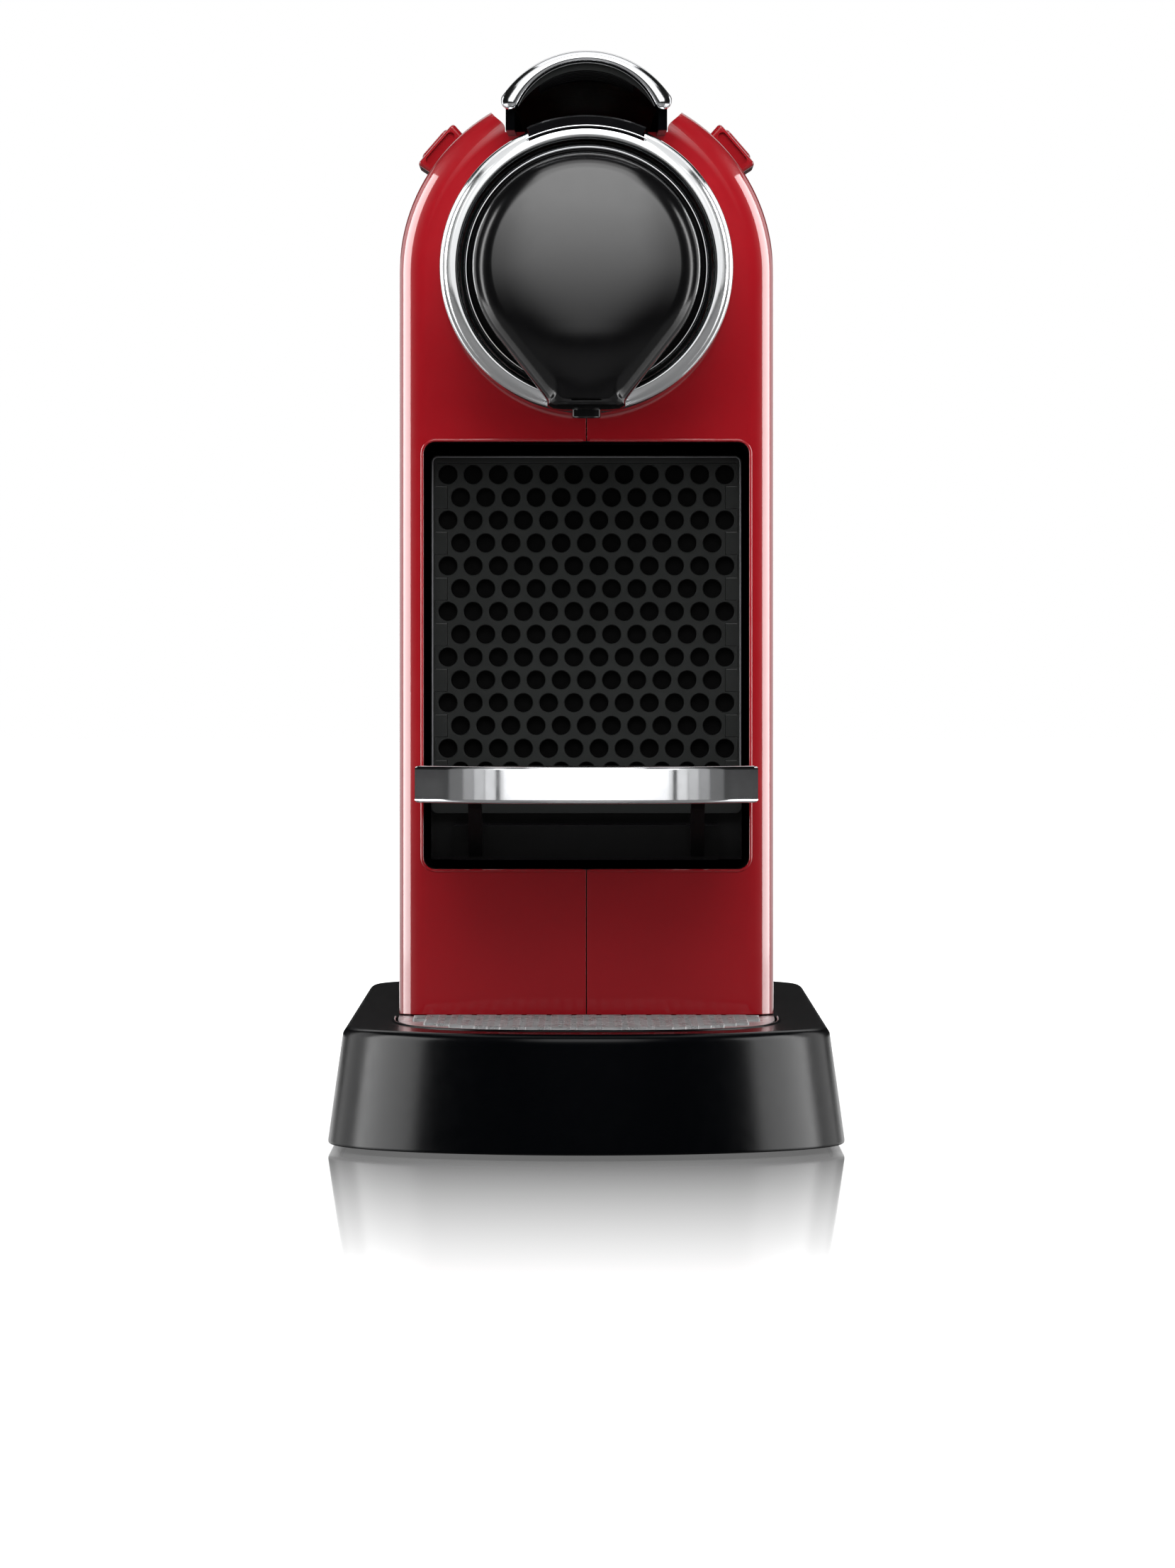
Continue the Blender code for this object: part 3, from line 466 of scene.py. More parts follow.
def make_materials():
    made = {}
    made["red"] = plain("red_shell", (0.300, 0.0050, 0.0100), 0.32, tint=0.03, grain=700, grain_depth=0.002,
                        rough_spread=0.03, coat=1.0, coat_roughness=0.04, specular=0.15)
    made["black"] = plain("black_plastic", (0.006, 0.006, 0.0065), 0.38, grain=2400, grain_depth=0.012,
                          specular=0.25)
    made["satin"] = plain("satin_black", (0.0008, 0.0010, 0.0014), 0.22, grain=3000, grain_depth=0.005,
                          rough_spread=0.02, specular=0.09)
    made["panel"] = plain("panel_black", (0.016, 0.0172, 0.0168), 0.32, grain=2600, grain_depth=0.008,
                          specular=0.3)
    # Painted shade: near-black walls and floors for the shallow pockets, standing in for the dark depth of
    # the holes.
    made["pocket"] = plain("pocket_painted_shade", (0.0008, 0.0008, 0.0009), 0.5, grain=2600, grain_depth=0.005,
                           specular=0.08)
    made["gloss"] = plain("gloss_black", (0.0025, 0.0025, 0.003), 0.16, tint=0.02, grain=500,
                          grain_depth=0.0005, rough_spread=0.02, coat=1.0)
    made["dome"] = plain("dome_black", (0.0020, 0.0020, 0.0022), 0.19, tint=0.02, grain=900,
                         grain_depth=0.001, rough_spread=0.015)
    for key, name, colour, roughness, grain_depth, rough_spread in (
            ("chrome", "chrome", (0.83, 0.84, 0.86), 0.05, 0.0006, 0.015),
            ("visor", "visor_chrome", (0.80, 0.81, 0.83), 0.12, 0.0006, 0.02),
            ("bar", "bar_chrome", (0.84, 0.85, 0.87), 0.085, 0.0005, 0.012),
            ("ring", "ring_chrome", (0.80, 0.81, 0.82), 0.13, 0.0006, 0.02)):
        made[key] = plain(name, colour, roughness, 1.0, tint=0.01, grain=900, grain_depth=grain_depth,
                          rough_spread=rough_spread)
    made["steel"] = plain("steel", (0.52, 0.53, 0.55), 0.30, 1.0, tint=0.05, grain=700,
                          rough_spread=0.08, stretch=(0.15, 2.5, 1))
    made["grid"] = plain("grid_metal", (0.50, 0.505, 0.51), 0.30, 0.8, tint=0.05, grain=1100,
                         grain_depth=0.12, rough_spread=0.06)
    made["rubber"] = plain("rubber", (0.018, 0.018, 0.018), 0.78, grain=2500, grain_depth=0.05)
    # Grey plastic for the capsule cage. The same material on the perforated frame's edge wire is a painted
    # highlight.
    made["grey"] = plain("grey_plastic", (0.16, 0.16, 0.17), 0.5, grain=2000, grain_depth=0.02)
    made["clear"] = clear_plastic("smoked_clear", (0.42, 0.43, 0.45), 0.06)
    made["copper"] = wound_wire("copper_winding", (0.50, 0.20, 0.07))
    made["board"] = plain("board_green", (0.015, 0.10, 0.04), 0.45, tint=0.35, grain=500, grain_depth=0.05)
    return made


# -------- base

def base_ring(inset, z):
    return [(x, y, z) for x, y in long_oval(inset)]


def make_base(m):
    draft, edge = 3.6, 2.6
    rings = [base_ring(inset, BASE_LOW + up) for inset, up in ((2.6, 0), (0.5, 0), (0.12, 0.25), (0, 0.8))]
    for i in range(9):
        a = math.radians(90 * i / 8)
        rings.append(base_ring(draft + edge * (1 - math.cos(a)), BASE_TOP - edge * (1 - math.sin(a))))
    plinth = make("plinth", loft(rings), m["satin"])
    carve(plinth, loft([base_ring(2.6, BASE_LOW - 1), base_ring(6.2, BASE_TOP - 2.6)]))
    carve(plinth, prism(half_oval(WELL_HALF, WELL_DEPTH, WELL_BACK), "Z", BASE_TOP - 10, BASE_TOP + 5))
    carve(plinth, cylinder(GLAND_HOLE, (0, 0, 15), "Y", 170, 190))
    for x, y in HOSE_HOLES:
        carve(plinth, cylinder(4.0, (x, y, 0), "Z", 20, 40))
    for side in (-1, 1):
        x0, x1 = sorted((side * (BODY_HALF + 0.4), side * 70))
        carve(plinth, block((x0, FACE - 0.2, BASE_TOP - 0.45), (x1, FACE + 0.2, BASE_TOP + 1)))
    plinth.data.shade_smooth()
    sharpen(plinth, 40)
    place(plinth, "housing", "black_plastic", "base_plinth")
    make_well_rim(m)
    make_drip_grid(m)


def make_well_rim(m):
    """A thin rounded lip round the drip tray's well."""
    rings = []
    for i in range(12):
        a = 2 * math.pi * i / 12
        out, up = 0.35 + 0.5 * math.cos(a), 0.4 * math.sin(a)
        ring = half_oval(WELL_HALF + out, WELL_DEPTH + 0.3 + out, WELL_BACK)
        rings.append([(x, y, BASE_TOP + up) for x, y in ring])
    rim = bmesh.new()
    rows = [[rim.verts.new(Vector(p) * MM) for p in ring] for ring in rings]
    for k in range(len(rows)):
        row, following = rows[k], rows[(k + 1) % len(rows)]
        for i in range(len(row) - 1):
            rim.faces.new((row[i], row[i + 1], following[i + 1], following[i]))
    rim.faces.new([row[0] for row in rows])
    rim.faces.new([row[-1] for row in rows][::-1])
    place(make("well_rim", rim, m["satin"], 60), "housing", "black_plastic")


def slot_outline(x, y, half, thick, radius):
    return rounded_rectangle(x - half, y - thick, x + half, y + thick, radius, 2)


def make_drip_grid(m):
    """A metal sheet with rows of staggered round-ended slots, each with a raised rim."""
    top = high("base_grid").z
    sheet = make("drip_grid", prism(half_oval(48.2, 80.2, WELL_BACK - 0.5), "Z", top - 1.2, top), m["grid"])
    slots, rims = [], []
    pitch_x, pitch_y = 6.4, 3.2
    reach_x, reach_y = 45.0, 79.0
    for row in range(23):
        y = WELL_BACK - 4.5 - pitch_y * row
        shift = pitch_x / 2 * (row % 2)
        reach = reach_x * (1 - ((WELL_BACK - y) / reach_y) ** WELL_POWER) ** (1 / WELL_POWER) - 2.5
        for i in range(math.ceil((-reach - shift) / pitch_x), math.floor((reach - shift) / pitch_x) + 1):
            x = i * pitch_x + shift
            slots.append(prism(slot_outline(x, y, 2.0, 0.8, 0.75), "Z", top - 3, top + 3))
            rims.append(prism(slot_outline(x, y, 2.6, 1.3, 1.25), "Z", top - 0.8, top + 0.6))
    carve(sheet, merge(*rims), "UNION")
    carve(sheet, merge(*slots))
    for side in (-1, 1):
        carve(sheet, cylinder(1.6, (side * reach_x, WELL_BACK - 4.0, 0), "Z", top - 3, top + 3, 20))
    sharpen(sheet, 30)
    place(sheet, "drip_grid", "steel", "base_grid")


# -------- body

def shell_rings(half, foot, front, radius, steps, rear):
    rings = []
    for i in range(steps + 1):
        a = math.radians(90 * i / steps)
        inset = radius * (1 - math.sin(a))
        rings.append([(x, front + radius * (1 - math.cos(a)), z) for x, z in arch(half - inset, foot)])
    rings.append([(x, rear, z) for x, z in arch(half, foot)])
    return rings


def lip_outline(side):
    """The solid edge of the lever's channel, which the hollow inside the shell leaves standing."""
    x0, x1 = sorted((side * (LIP_HALF - 6.0), side * 26.5))
    return [(x0, 256.6), (x1, 256.6), (x1, 270.0), (x0, 270.0)]


def channel_outline():
    """The space above the lips: narrow below, and flared in a hollow curve up to the shoulders' tips."""
    right = [(15.9, 257.4), (15.9, 259.3), (LIP_HALF, 259.3), (LIP_HALF, 260.4), (21.25, 261.1)]
    right += [(21.9, 261.9), (22.8, 262.7), (23.8, 263.6), (24.5, 264.4), (25.0, 265.2), (27.5, 275.0)]
    return right + [(-x, z) for x, z in reversed(right)]


def make_shell(m, name, side, node):
    """One half of the red body, cut on the centre seam."""
    shell = make(name, loft(shell_rings(BODY_HALF, BODY_FOOT, FACE, ROUNDING, 12, BODY_REAR)), m["red"])
    inside = shell_rings(BODY_HALF - WALL, BODY_FOOT - 5, FACE + WALL, ROUNDING - WALL, 6, BODY_REAR + 5)
    cavity = make("cavity", loft(inside), m["red"])
    for lip in (-1, 1):
        carve(cavity, prism(lip_outline(lip), "Y", FACE - 5, CHANNEL_REAR + 0.5))
    carve_with(shell, cavity)
    carve(shell, prism(channel_outline(), "Y", FACE - 10, CHANNEL_REAR))
    x0, x1 = sorted((side * SEAM_GAP, -side * 80))
    carve(shell, block((x0, -100, 0), (x1, 140, 300)))
    recess = rounded_rectangle(-RECESS_HALF, RECESS_LOW, RECESS_HALF, RECESS_HIGH, 3.2)
    carve(shell, prism(recess, "Y", FACE - 10, FACE + 12))
    carve(shell, cylinder(24.0, (0, 0, HEAD_Z), "Y", FACE - 10, FACE + 12))
    button_hole = block((-5.6, BUTTON_Y - 10.4, 263), (5.6, BUTTON_Y + 10.4, 280))
    carve(shell, lean_over(button_hole, side * BUTTON_ANGLE))
    soften(shell, 0.55, 3, 42)
    place(shell, "housing", "red_shell", node)
    make_recess_rim(m, name + "_rim", side)


def make_recess_rim(m, name, side):
    """The rounded lip round one half of the recess. It stops short of the centre seam."""
    half, low_z, high_z, corner = RECESS_HALF + 0.25, RECESS_LOW - 0.25, RECESS_HIGH + 0.25, 3.4
    path = [(0.9, low_z)]
    path += arc(half - corner, low_z + corner, corner, corner, 270, 360, 8)
    path += arc(half - corner, high_z - corner, corner, corner, 0, 90, 8)
    path.append((0.9, high_z))
    points = [(side * x, FACE + 0.12, z) for x, z in path]
    place(wire(name, points, 0.42, m["red"]), "housing", "red_shell")


def make_trough(m):
    """The floor of the lever's channel and the wall behind it."""
    half, radius = 20.9, 48.2
    floor = [(-half, 255), (half, 255), (half, 257), (-half, 257)]
    trough = make("channel_floor", prism(floor, "Y", FACE + WALL, CHANNEL_REAR - 0.4), m["red"])
    lean = math.degrees(math.acos(half / radius))
    end = [(-half, 256), (half, 256)] + arc(0, ARCH_Z, radius, radius, lean, 180 - lean, 24)
    carve(trough, prism(end, "Y", CHANNEL_REAR - 2.6, CHANNEL_REAR - 0.4), "UNION")
    carve(trough, block((-20.0, -68.0, 240), (20.0, -33.0, 300)))
    carve(trough, block((-17.0, FACE - 5, 240), (17.0, -60.0, 300)))
    carve(trough, block((-20.2, -12.0, 240), (20.2, 54.7, 257.5)))
    place(trough, "housing", "red_shell", "lever_trough")


# -------- head

def make_head(m):
    make_ring(m)
    make_trim_ring(m)
    dress("head_plate", m["gloss"])
    make_cover(m)
    make_collar(m)
    make_nozzle(m)


def make_ring(m):
    """The wide chrome ring: a straight side, a rounded edge and a face that slopes in to a small lip."""
    front, outer = RING_FRONT, RING_RADIUS
    profile = [(32.6, FACE - 0.3), (outer, FACE - 0.3), (outer, front + 3.2)]
    for i in range(1, 9):
        a = math.radians(90 * i / 8)
        profile.append((outer - 1.1 * (1 - math.cos(a)), front + 3.2 - 1.9 * math.sin(a)))
    for i in range(1, 9):
        t = i / 8
        profile.append((outer - 1.1 - 2.9 * t, front + 1.3 - 1.3 * (2 * t - t * t)))
    profile += [(33.1, front + 0.15), (32.75, front + 0.5), (32.6, front + 1.1)]
    ring = make("chrome_ring", turned(profile, (0, 0, HEAD_Z), "Y", 160), m["ring"], 50)
    cutter = arc(0, HEAD_Z, 35.0, 35.0, 90 - 27, 90 + 27, 24) + [(-15.6, 262), (15.6, 262)]
    carve(ring, prism([(x, z) for x, z in cutter if abs(x) <= 15.7], "Y", front - 5, FACE + 5))
    sharpen(ring, 50)
    place(ring, "housing", "chrome", "head_ring")


def make_trim_ring(m):
    """The thin bright ring inside the wide one, with a round front."""
    back, middle, half = high("head_trim_ring").y, 30.75, 0.65
    band = [(middle - half, back)]
    for i in range(9):
        a = math.radians(180 - 22.5 * i)
        band.append((middle + half * math.cos(a), back - half - half * math.sin(a)))
    band.append((middle + half, back))
    ring = make("trim_ring", turned(band, (0, 0, HEAD_Z), "Y", 144), m["chrome"], 60)
    place(ring, "housing", "chrome", "head_trim_ring")


def dome_front(z):
    """How far forward the dome's face lies: it faces up at the top and straight ahead at the foot."""
    height = HEAD_Z + DOME_RADIUS - SPOUT_FOOT
    share = min(1.0, max(0.0, (HEAD_Z + DOME_RADIUS - z) / height))
    brow = max(0.0, z - HEAD_Z) ** 2 * DOME_CROWN / DOME_FLAT ** 2
    return -109.5 - brow - height * (0.37 * (share - share * share / 2) + 0.03 * share)


def dome_ring(inset, behind):
    ring = []
    for x, z in drop(DOME_RADIUS - inset, SPOUT_HALF - 0.62 * inset, SPOUT_FOOT + 0.5 * inset):
        ring.append((x, dome_front(z) + behind, z))
    return ring


def make_cover(m):
    """A drop-shaped dome with a rolled edge. Its face leans out towards the spout."""
    back = high("spout_cover").y
    rings = []
    for y in (back, -104.4):
        rings.append([(x, y, max(z, 197.0 + 0.2 * abs(x))) for x, _, z in dome_ring(0.5, 0)])
    rings.append([(x, -105.0, z) for x, _, z in dome_ring(0.0, 0)])
    for i in range(13):
        a = ROLL_END * i / 12
        rings.append(dome_ring(DOME_ROLL * (1 - math.cos(a)), 0.95 * DOME_ROLL * (1 - math.sin(a))))
    bm = loft(rings)
    front_face = min(bm.faces, key=lambda face: face.calc_center_median().y)
    bmesh.ops.delete(bm, geom=[front_face], context="FACES")
    add_plateau(bm, rings[-1])
    place(make("spout_dome", bm, m["dome"], 50), "housing", "gloss_black", "spout_cover")


def add_plateau(bm, rim):
    """Closes the dome with rows from side to side, slightly crowned."""
    across = 16
    rows = []
    for k in range(len(rim) // 2):
        right, left = Vector(rim[k]), Vector(rim[-1 - k])
        rise = max(0.0, right.z - HEAD_Z) / DOME_FLAT
        foot = min(1.0, max(0.0, right.z - rim[0][2] - 1.0) / 16)
        row = []
        for i in range(across + 1):
            point = right.lerp(left, i / across)
            width = 1 - (2 * i / across - 1) ** 2
            point.y -= DOME_CROWN * width * max(0.0, 1 - rise * rise) * foot * foot * (3 - 2 * foot)
            row.append(bm.verts.new(point * MM))
        rows.append(row)
    for lower, upper in zip(rows, rows[1:]):
        for i in range(across):
            bm.faces.new((lower[i], lower[i + 1], upper[i + 1], upper[i]))
    bm.faces.new(rows[-1] + [bm.verts.new(Vector(rim[len(rim) // 2]) * MM)])
    bmesh.ops.remove_doubles(bm, verts=bm.verts, dist=2e-6)


def make_collar(m):
    """The black frame of the capsule slot, which follows the ring, with a fine bright line in front."""
    reach = math.degrees(math.asin(15.3 / 38.7))
    front = RING_FRONT + 0.6
    rings = []
    levels = ((38.2, 35.4, front), (38.6, 35.2, front + 0.4), (38.7, 35.2, front + 1.0), (38.7, 35.2, -60.2))
    for r_out, r_in, y in levels:
        ring = arc(0, HEAD_Z, r_out, r_out, 90 - reach, 90 + reach, 32)
        ring += arc(0, HEAD_Z, r_in, r_in, 90 + reach, 90 - reach, 32)
        rings.append([(x, y, z) for x, z in ring])
    collar = make("slot_frame", loft(rings), m["gloss"])
    carve(collar, block((-19.4, -65.6, 250.0), (19.4, -33.4, 257.8)), "UNION")
    carve(collar, block((-17.6, -63.8, 240), (17.6, -35.2, 270)))
    sharpen(collar, 35)
    place(collar, "housing", "black_plastic", "slot_collar")
    trim = [(x, front - 0.25, z) for x, z in arc(0, HEAD_Z, 35.9, 35.9, 90 - 25.4, 90 + 25.4, 48)]
    place(wire("collar_trim", trim, 0.22, m["chrome"]), "housing", "chrome")


def make_nozzle(m):
    tube = [(2.2, 184.5), (2.5, 184.3), (3.4, 184.3), (3.7, 184.7), (3.7, 196), (2.2, 196)]
    centre = (0, (low("coffee_outlet").y + high("coffee_outlet").y) / 2, 0)
    nozzle = make("nozzle", turned(tube, centre, "Z", 40), m["dome"], 50)
    place(nozzle, "housing", "black_plastic", "coffee_outlet")


# -------- lever

def lever_stations(start, count, last_turn):
    """The places of the lever's cross-sections: straight back to the axle, then turned down round it."""
    rear = PIVOT.y
    for i in range(count + 1):
        y = start + (rear - start) * i / count
        yield y, (y - LEVER_TIP) / (rear - LEVER_TIP), 0
    for turn in range(5, last_turn + 1, 5):
        yield rear, 1.0, turn


def lever_half(share):
    return between(VISOR_HALF, 19.5, share)


def lever_circle(share):
    """The height of the lever's top at a station and the radius of its cross-section."""
    return between(278.5, 270.0, share), between(25.6, 45.0, share)


def lever_arc(share, half, depth, steps=40):
    top, full = lever_circle(share)
    radius = full - depth
    lean = math.degrees(math.asin(half / radius))
    return arc(0, top - full, radius, radius, 90 - lean, 90 + lean, steps)


def band_reach(full, half, end):
    return math.asin((half - end / 2) / (full - end / 2))


def band_edges(share, half, middle, end, size, steps=48):
    """The outer and the inner edge of a bent band, `middle` thick at its centre and `end` at its ends."""
    top, full = lever_circle(share)
    centre = Vector((0, top - full))
    reach = band_reach(full, half, end)
    outer, inner = [], []
    for i in range(steps + 1):
        across = 2 * i / steps - 1
        thick = between(middle, end, abs(across) ** 2.2)
        along = Vector((-math.sin(reach * across), math.cos(reach * across)))
        outer.append(tuple(centre + along * (full - thick / 2 * (1 - size))))
        inner.append(tuple(centre + along * (full - thick / 2 * (1 + size))))
    return outer, inner


def visor_section(share, half, middle, end, size):
    """A bent band with round ends, shrunk towards its middle line by `size`."""
    top, full = lever_circle(share)
    reach = band_reach(full, half, end)
    outer, inner = band_edges(share, half, middle, end, size)
    ends = []
    for side in (-1, 1):
        hub = Vector((0, top - full)) + Vector((side * math.sin(reach), math.cos(reach))) * (full - end / 2)
        start = 90 - math.degrees(reach) * side
        cap = arc(hub.x, hub.y, end / 2 * size, end / 2 * size, start, start - 180 * side, 12)
        ends.append(cap[1:-1])
    return outer + ends[0] + inner[::-1] + ends[1][::-1]


def lever_section(points, y, turn):
    spin = Matrix.Rotation(math.radians(-turn), 3, "X")
    return [tuple(PIVOT + spin @ (Vector((x, y, z)) - PIVOT)) for x, z in points]


def lean_back(section, y):
    """Tilts a slice of the visor's front, so that its outer edge lies further back than its inner edge."""
    top, full = lever_circle(0)
    points = []
    for x, z in section:
        depth = full - math.hypot(x, z - top + full)
        points.append((x, y - 0.45 * depth + 0.9, z))
    return points


def make_lever(m):
    make_visor(m)
    make_visor_edge(m)
    make_lever_liner(m)
    for i in range(6):
        y = -97.0 + 3.2 * i
        share = (y - LEVER_TIP) / (PIVOT.y - LEVER_TIP)
        rib = [(x, y, z) for x, z in lever_arc(share, 12.0, 4.6, 24)]
        place(wire("grip_rib_%d" % (i + 1), rib, 0.5, m["black"]), "lever", "black_plastic")


def make_visor(m):
    """The chrome cover: a rounded lip in front, then a thin shell back to the axle."""
    rings = []
    for i in range(12):
        a = math.radians(88 - 8 * i)
        section = visor_section(0, VISOR_HALF, VISOR_MIDDLE, VISOR_END, math.cos(a))
        rings.append(lean_back(section, -101.3 - 2.2 * math.sin(a)))
    rings.append(lean_back(visor_section(0, VISOR_HALF, VISOR_MIDDLE, VISOR_END, 1), -101.0))
    rings.append(lever_section(visor_section(0, VISOR_HALF, COVER_WALL, COVER_WALL, 1), -100.0, 0))
    for y, share, turn in lever_stations(-98.0, 20, 80):
        section = visor_section(share, lever_half(share), COVER_WALL, COVER_WALL, 1)
        rings.append(lever_section(section, y, turn))
    place(make("lever_cover", loft(rings), m["visor"], 45), "lever", "chrome", "lever_shell")


def make_visor_edge(m):
    """A fine bright line under the lip, and the dark plate that fills the space below it."""
    under = band_edges(0, VISOR_HALF, VISOR_MIDDLE, VISOR_END, 1)[1]
    line = [(x, -100.7, z) for x, z in under[::-1]]
    place(wire("visor_line", line, 0.16, m["chrome"]), "lever", "chrome")
    brow = under + band_edges(0, VISOR_HALF, 5.0, VISOR_END + 0.2, 1)[1][::-1]
    rings = [[(x, y, z) for x, z in brow] for y in (-100.3, -99.7)]
    place(make("lever_brow", loft(rings), m["panel"], 40), "lever", "black_plastic")


def make_lever_liner(m):
    """The black underside with its side walls, and the two ears that the axle passes through."""
    rings = []
    for y, share, turn in lever_stations(-99.5, 24, 60):
        foot = 253.0 if y > 4 and not turn else 258.2
        outer = lever_half(share) - 1.1
        section = [(outer, foot)] + lever_arc(share, outer, 2.0) + [(-outer, foot), (2.2 - outer, foot)]
        section += lever_arc(share, outer - 2.2, 4.4)[::-1] + [(outer - 2.2, foot)]
        rings.append(lever_section(section, y, turn))
    liner = make("lever_grip", loft(rings), m["satin"], 40)
    for side in (-1, 1):
        x0, x1 = sorted((side * 15.9, side * 18.1))
        round_end = arc(PIVOT.y, PIVOT.z, 7.5, 7.5, 250, 360, 16)
        ear = [(13.0, 261.0), (13.0, 250.2)] + round_end + [(42.0, 260.0)]
        carve(liner, prism(ear, "X", x0, x1), "UNION")
    carve(liner, cylinder(2.8, PIVOT, "X", -30, 30))
    sharpen(liner, 40)
    place(liner, "lever", "black_plastic", "lever_liner")


# -------- buttons

def shoulder(half, y0, y1, bottom, top, side, corner):
    """A rounded block that follows the arch between two radii, leaned over to one shoulder."""
    rings = []
    edge = 0.7
    for inset, radius in ((0, bottom), (0, top - edge), (0.3 * edge, top - 0.3 * edge), (edge, top)):
        reach, round_by = half - inset, corner - inset * 0.8
        ring = []
        for a, y in rounded_rectangle(-reach, y0 + inset, reach, y1 - inset, round_by, 6):
            lean = a / top
            ring.append((radius * math.sin(lean), y, ARCH_Z + radius * math.cos(lean)))
        rings.append(ring)
    return lean_over(loft(rings), side * BUTTON_ANGLE)


def make_buttons(m):
    front, back = BUTTON_Y - 12, BUTTON_Y + 12
    for name, side in (("left", -1), ("right", 1)):
        bezel = make("bezel_" + name, shoulder(7.1, front, back, 47.6, 52.5, side, 1.2), m["red"], 40)
        carve(bezel, shoulder(5.8, front + 1.8, back - 1.8, 45.0, 56.0, side, 1.8))
        centre = ARCH_Z + 50.4
        pill = arc(4.0, centre, 1.1, 1.1, -90, 90, 10) + arc(-4.0, centre, 1.1, 1.1, 90, 270, 10)
        carve(bezel, lean_over(prism(pill, "Y", front - 1.0, front + 0.8), side * BUTTON_ANGLE))
        soften(bezel, 0.25, 2, 40)
        place(bezel, "housing", "red_shell", "button_bezel_" + name)
        finger_face = shoulder(5.0, front + 2.2, back - 2.2, 44.0, 52.9, side, 1.6)
        cap = make("cap_" + name, finger_face, m["red"], 40)
        place(cap, name + "_button", "red_shell", "button_" + name)


# -------- perforated front

def shared_vert(bm, known, x, y, z):
    """The vertex at a place, made only once, so that neighbouring cells join."""
    key = (round(x, 3), round(y, 3), round(z, 3))
    if key not in known:
        known[key] = bm.verts.new(Vector((x, y, z)) * MM)
    return known[key]


def cell_border(k):
    """Point k on the border of a cell that reaches one unit from its centre."""
    per_side = POCKET_SIDES // 4
    corners = [(1, -1), (1, 1), (-1, 1), (-1, -1)]
    start, end = corners[k // per_side], corners[(k // per_side + 1) % 4]
    t = (k % per_side) / per_side
    return start[0] + (end[0] - start[0]) * t, start[1] + (end[1] - start[1]) * t


def add_pocket(bm, known, cx, face, cz):
    """A cell of the sheet round one pocket, with the pocket's chamfered rim, its wall and its floor."""
    rows = [[] for _ in range(len(POCKET_PROFILE) + 1)]
    for k in range(POCKET_SIDES):
        px, pz = cell_border(k)
        x, z = cx + px * POCKET_PITCH_X / 2, cz + pz * POCKET_PITCH_Z / 2
        rows[0].append(shared_vert(bm, known, x, face, z))
        turn = 2 * math.pi * k / POCKET_SIDES - math.pi / 4
        for row, (radius, depth) in zip(rows[1:], POCKET_PROFILE):
            x, z = cx + radius * math.cos(turn), cz + radius * math.sin(turn)
            row.append(shared_vert(bm, known, x, face + depth, z))
    # The pocket's wall and floor take the second material, painted shade for the hole's dark depth.
    for outer, inner in zip(rows, rows[1:]):
        for k in range(POCKET_SIDES):
            j = (k + 1) % POCKET_SIDES
            made = bm.faces.new((outer[k], outer[j], inner[j], inner[k]))
            made.material_index = int(inner is rows[-1])
    bm.faces.new(rows[-1]).material_index = 1


def pocket_window():
    """The outline of the field of cells. Its sides step in and out with the rows."""
    steps = []
    for row in range(POCKET_ROWS):
        half = (POCKET_COLUMNS - row % 2) * POCKET_PITCH_X / 2
        z = POCKET_TOP - (row - 0.5) * POCKET_PITCH_Z
        steps += [(half, z), (half, z - POCKET_PITCH_Z)]
    return steps + [(-x, z) for x, z in reversed(steps)]


def frame_edge_path(box_low, box_high):
    """Up one side of the frame, over its rounded top corners and down the other side."""
    inset, corner = 0.4, 1.4
    left, right, top = box_low.x + inset, box_high.x - inset, box_high.z - inset
    path = [(left, box_low.z + 6), (left, top - corner)]
    path += arc(left + corner, top - corner, corner, corner, 180, 90, 5)
    path += arc(right - corner, top - corner, corner, corner, 90, 0, 5)
    path.append((right, box_low.z + 6))
    return [(x, box_low.y + 0.05, z) for x, z in path]


def make_perforated_front(m):
    """Staggered rows of round pockets, their walls and floors painted shade, in a frame with stepped sides,
    and a thin grey wire along the frame's edge as a painted highlight.
    """
    box_low, box_high = low("container_front"), high("container_front")
    face = box_low.y
    bm = bmesh.new()
    known = {}
    for row in range(POCKET_ROWS):
        count = POCKET_COLUMNS - row % 2
        for column in range(count):
            x = (column - (count - 1) / 2) * POCKET_PITCH_X
            add_pocket(bm, known, x, face, POCKET_TOP - row * POCKET_PITCH_Z)
    field = make("perforated_front", bm, m["panel"], 25)
    # The second material is the pockets' painted shade.
    field.data.materials.append(m["pocket"])
    place(field, "maintenance_unit", "black_plastic", "container_front")
    outer = rounded_rectangle(box_low.x, box_low.z, box_high.x, box_high.z, 1.6, 6)
    frame_plate = make("perforated_frame", prism(outer, "Y", face, box_high.y), m["panel"], 30)
    carve(frame_plate, prism(pocket_window(), "Y", face - 1, face + 2.25))
    soften(frame_plate, 0.3, 2, 60)
    place(frame_plate, "maintenance_unit", "black_plastic")
    # A thin grey wire up the sides and over the top of the frame: a painted highlight, in place of the light
    # that the frame's rounded edge catches.
    edge = wire("frame_edge", frame_edge_path(box_low, box_high), 0.22, m["grey"])
    place(edge, "maintenance_unit", "black_plastic")


# -------- cup support

def bar_arc(radius_in, half, steps=64):
    radius = (BAR_HALF ** 2 + BAR_BOW ** 2) / (2 * BAR_BOW)
    centre = BAR_FRONT + radius
    reach = math.degrees(math.asin(half / radius))
    return arc(0, centre, radius - radius_in, radius - radius_in, 270 - reach, 270 + reach, steps)


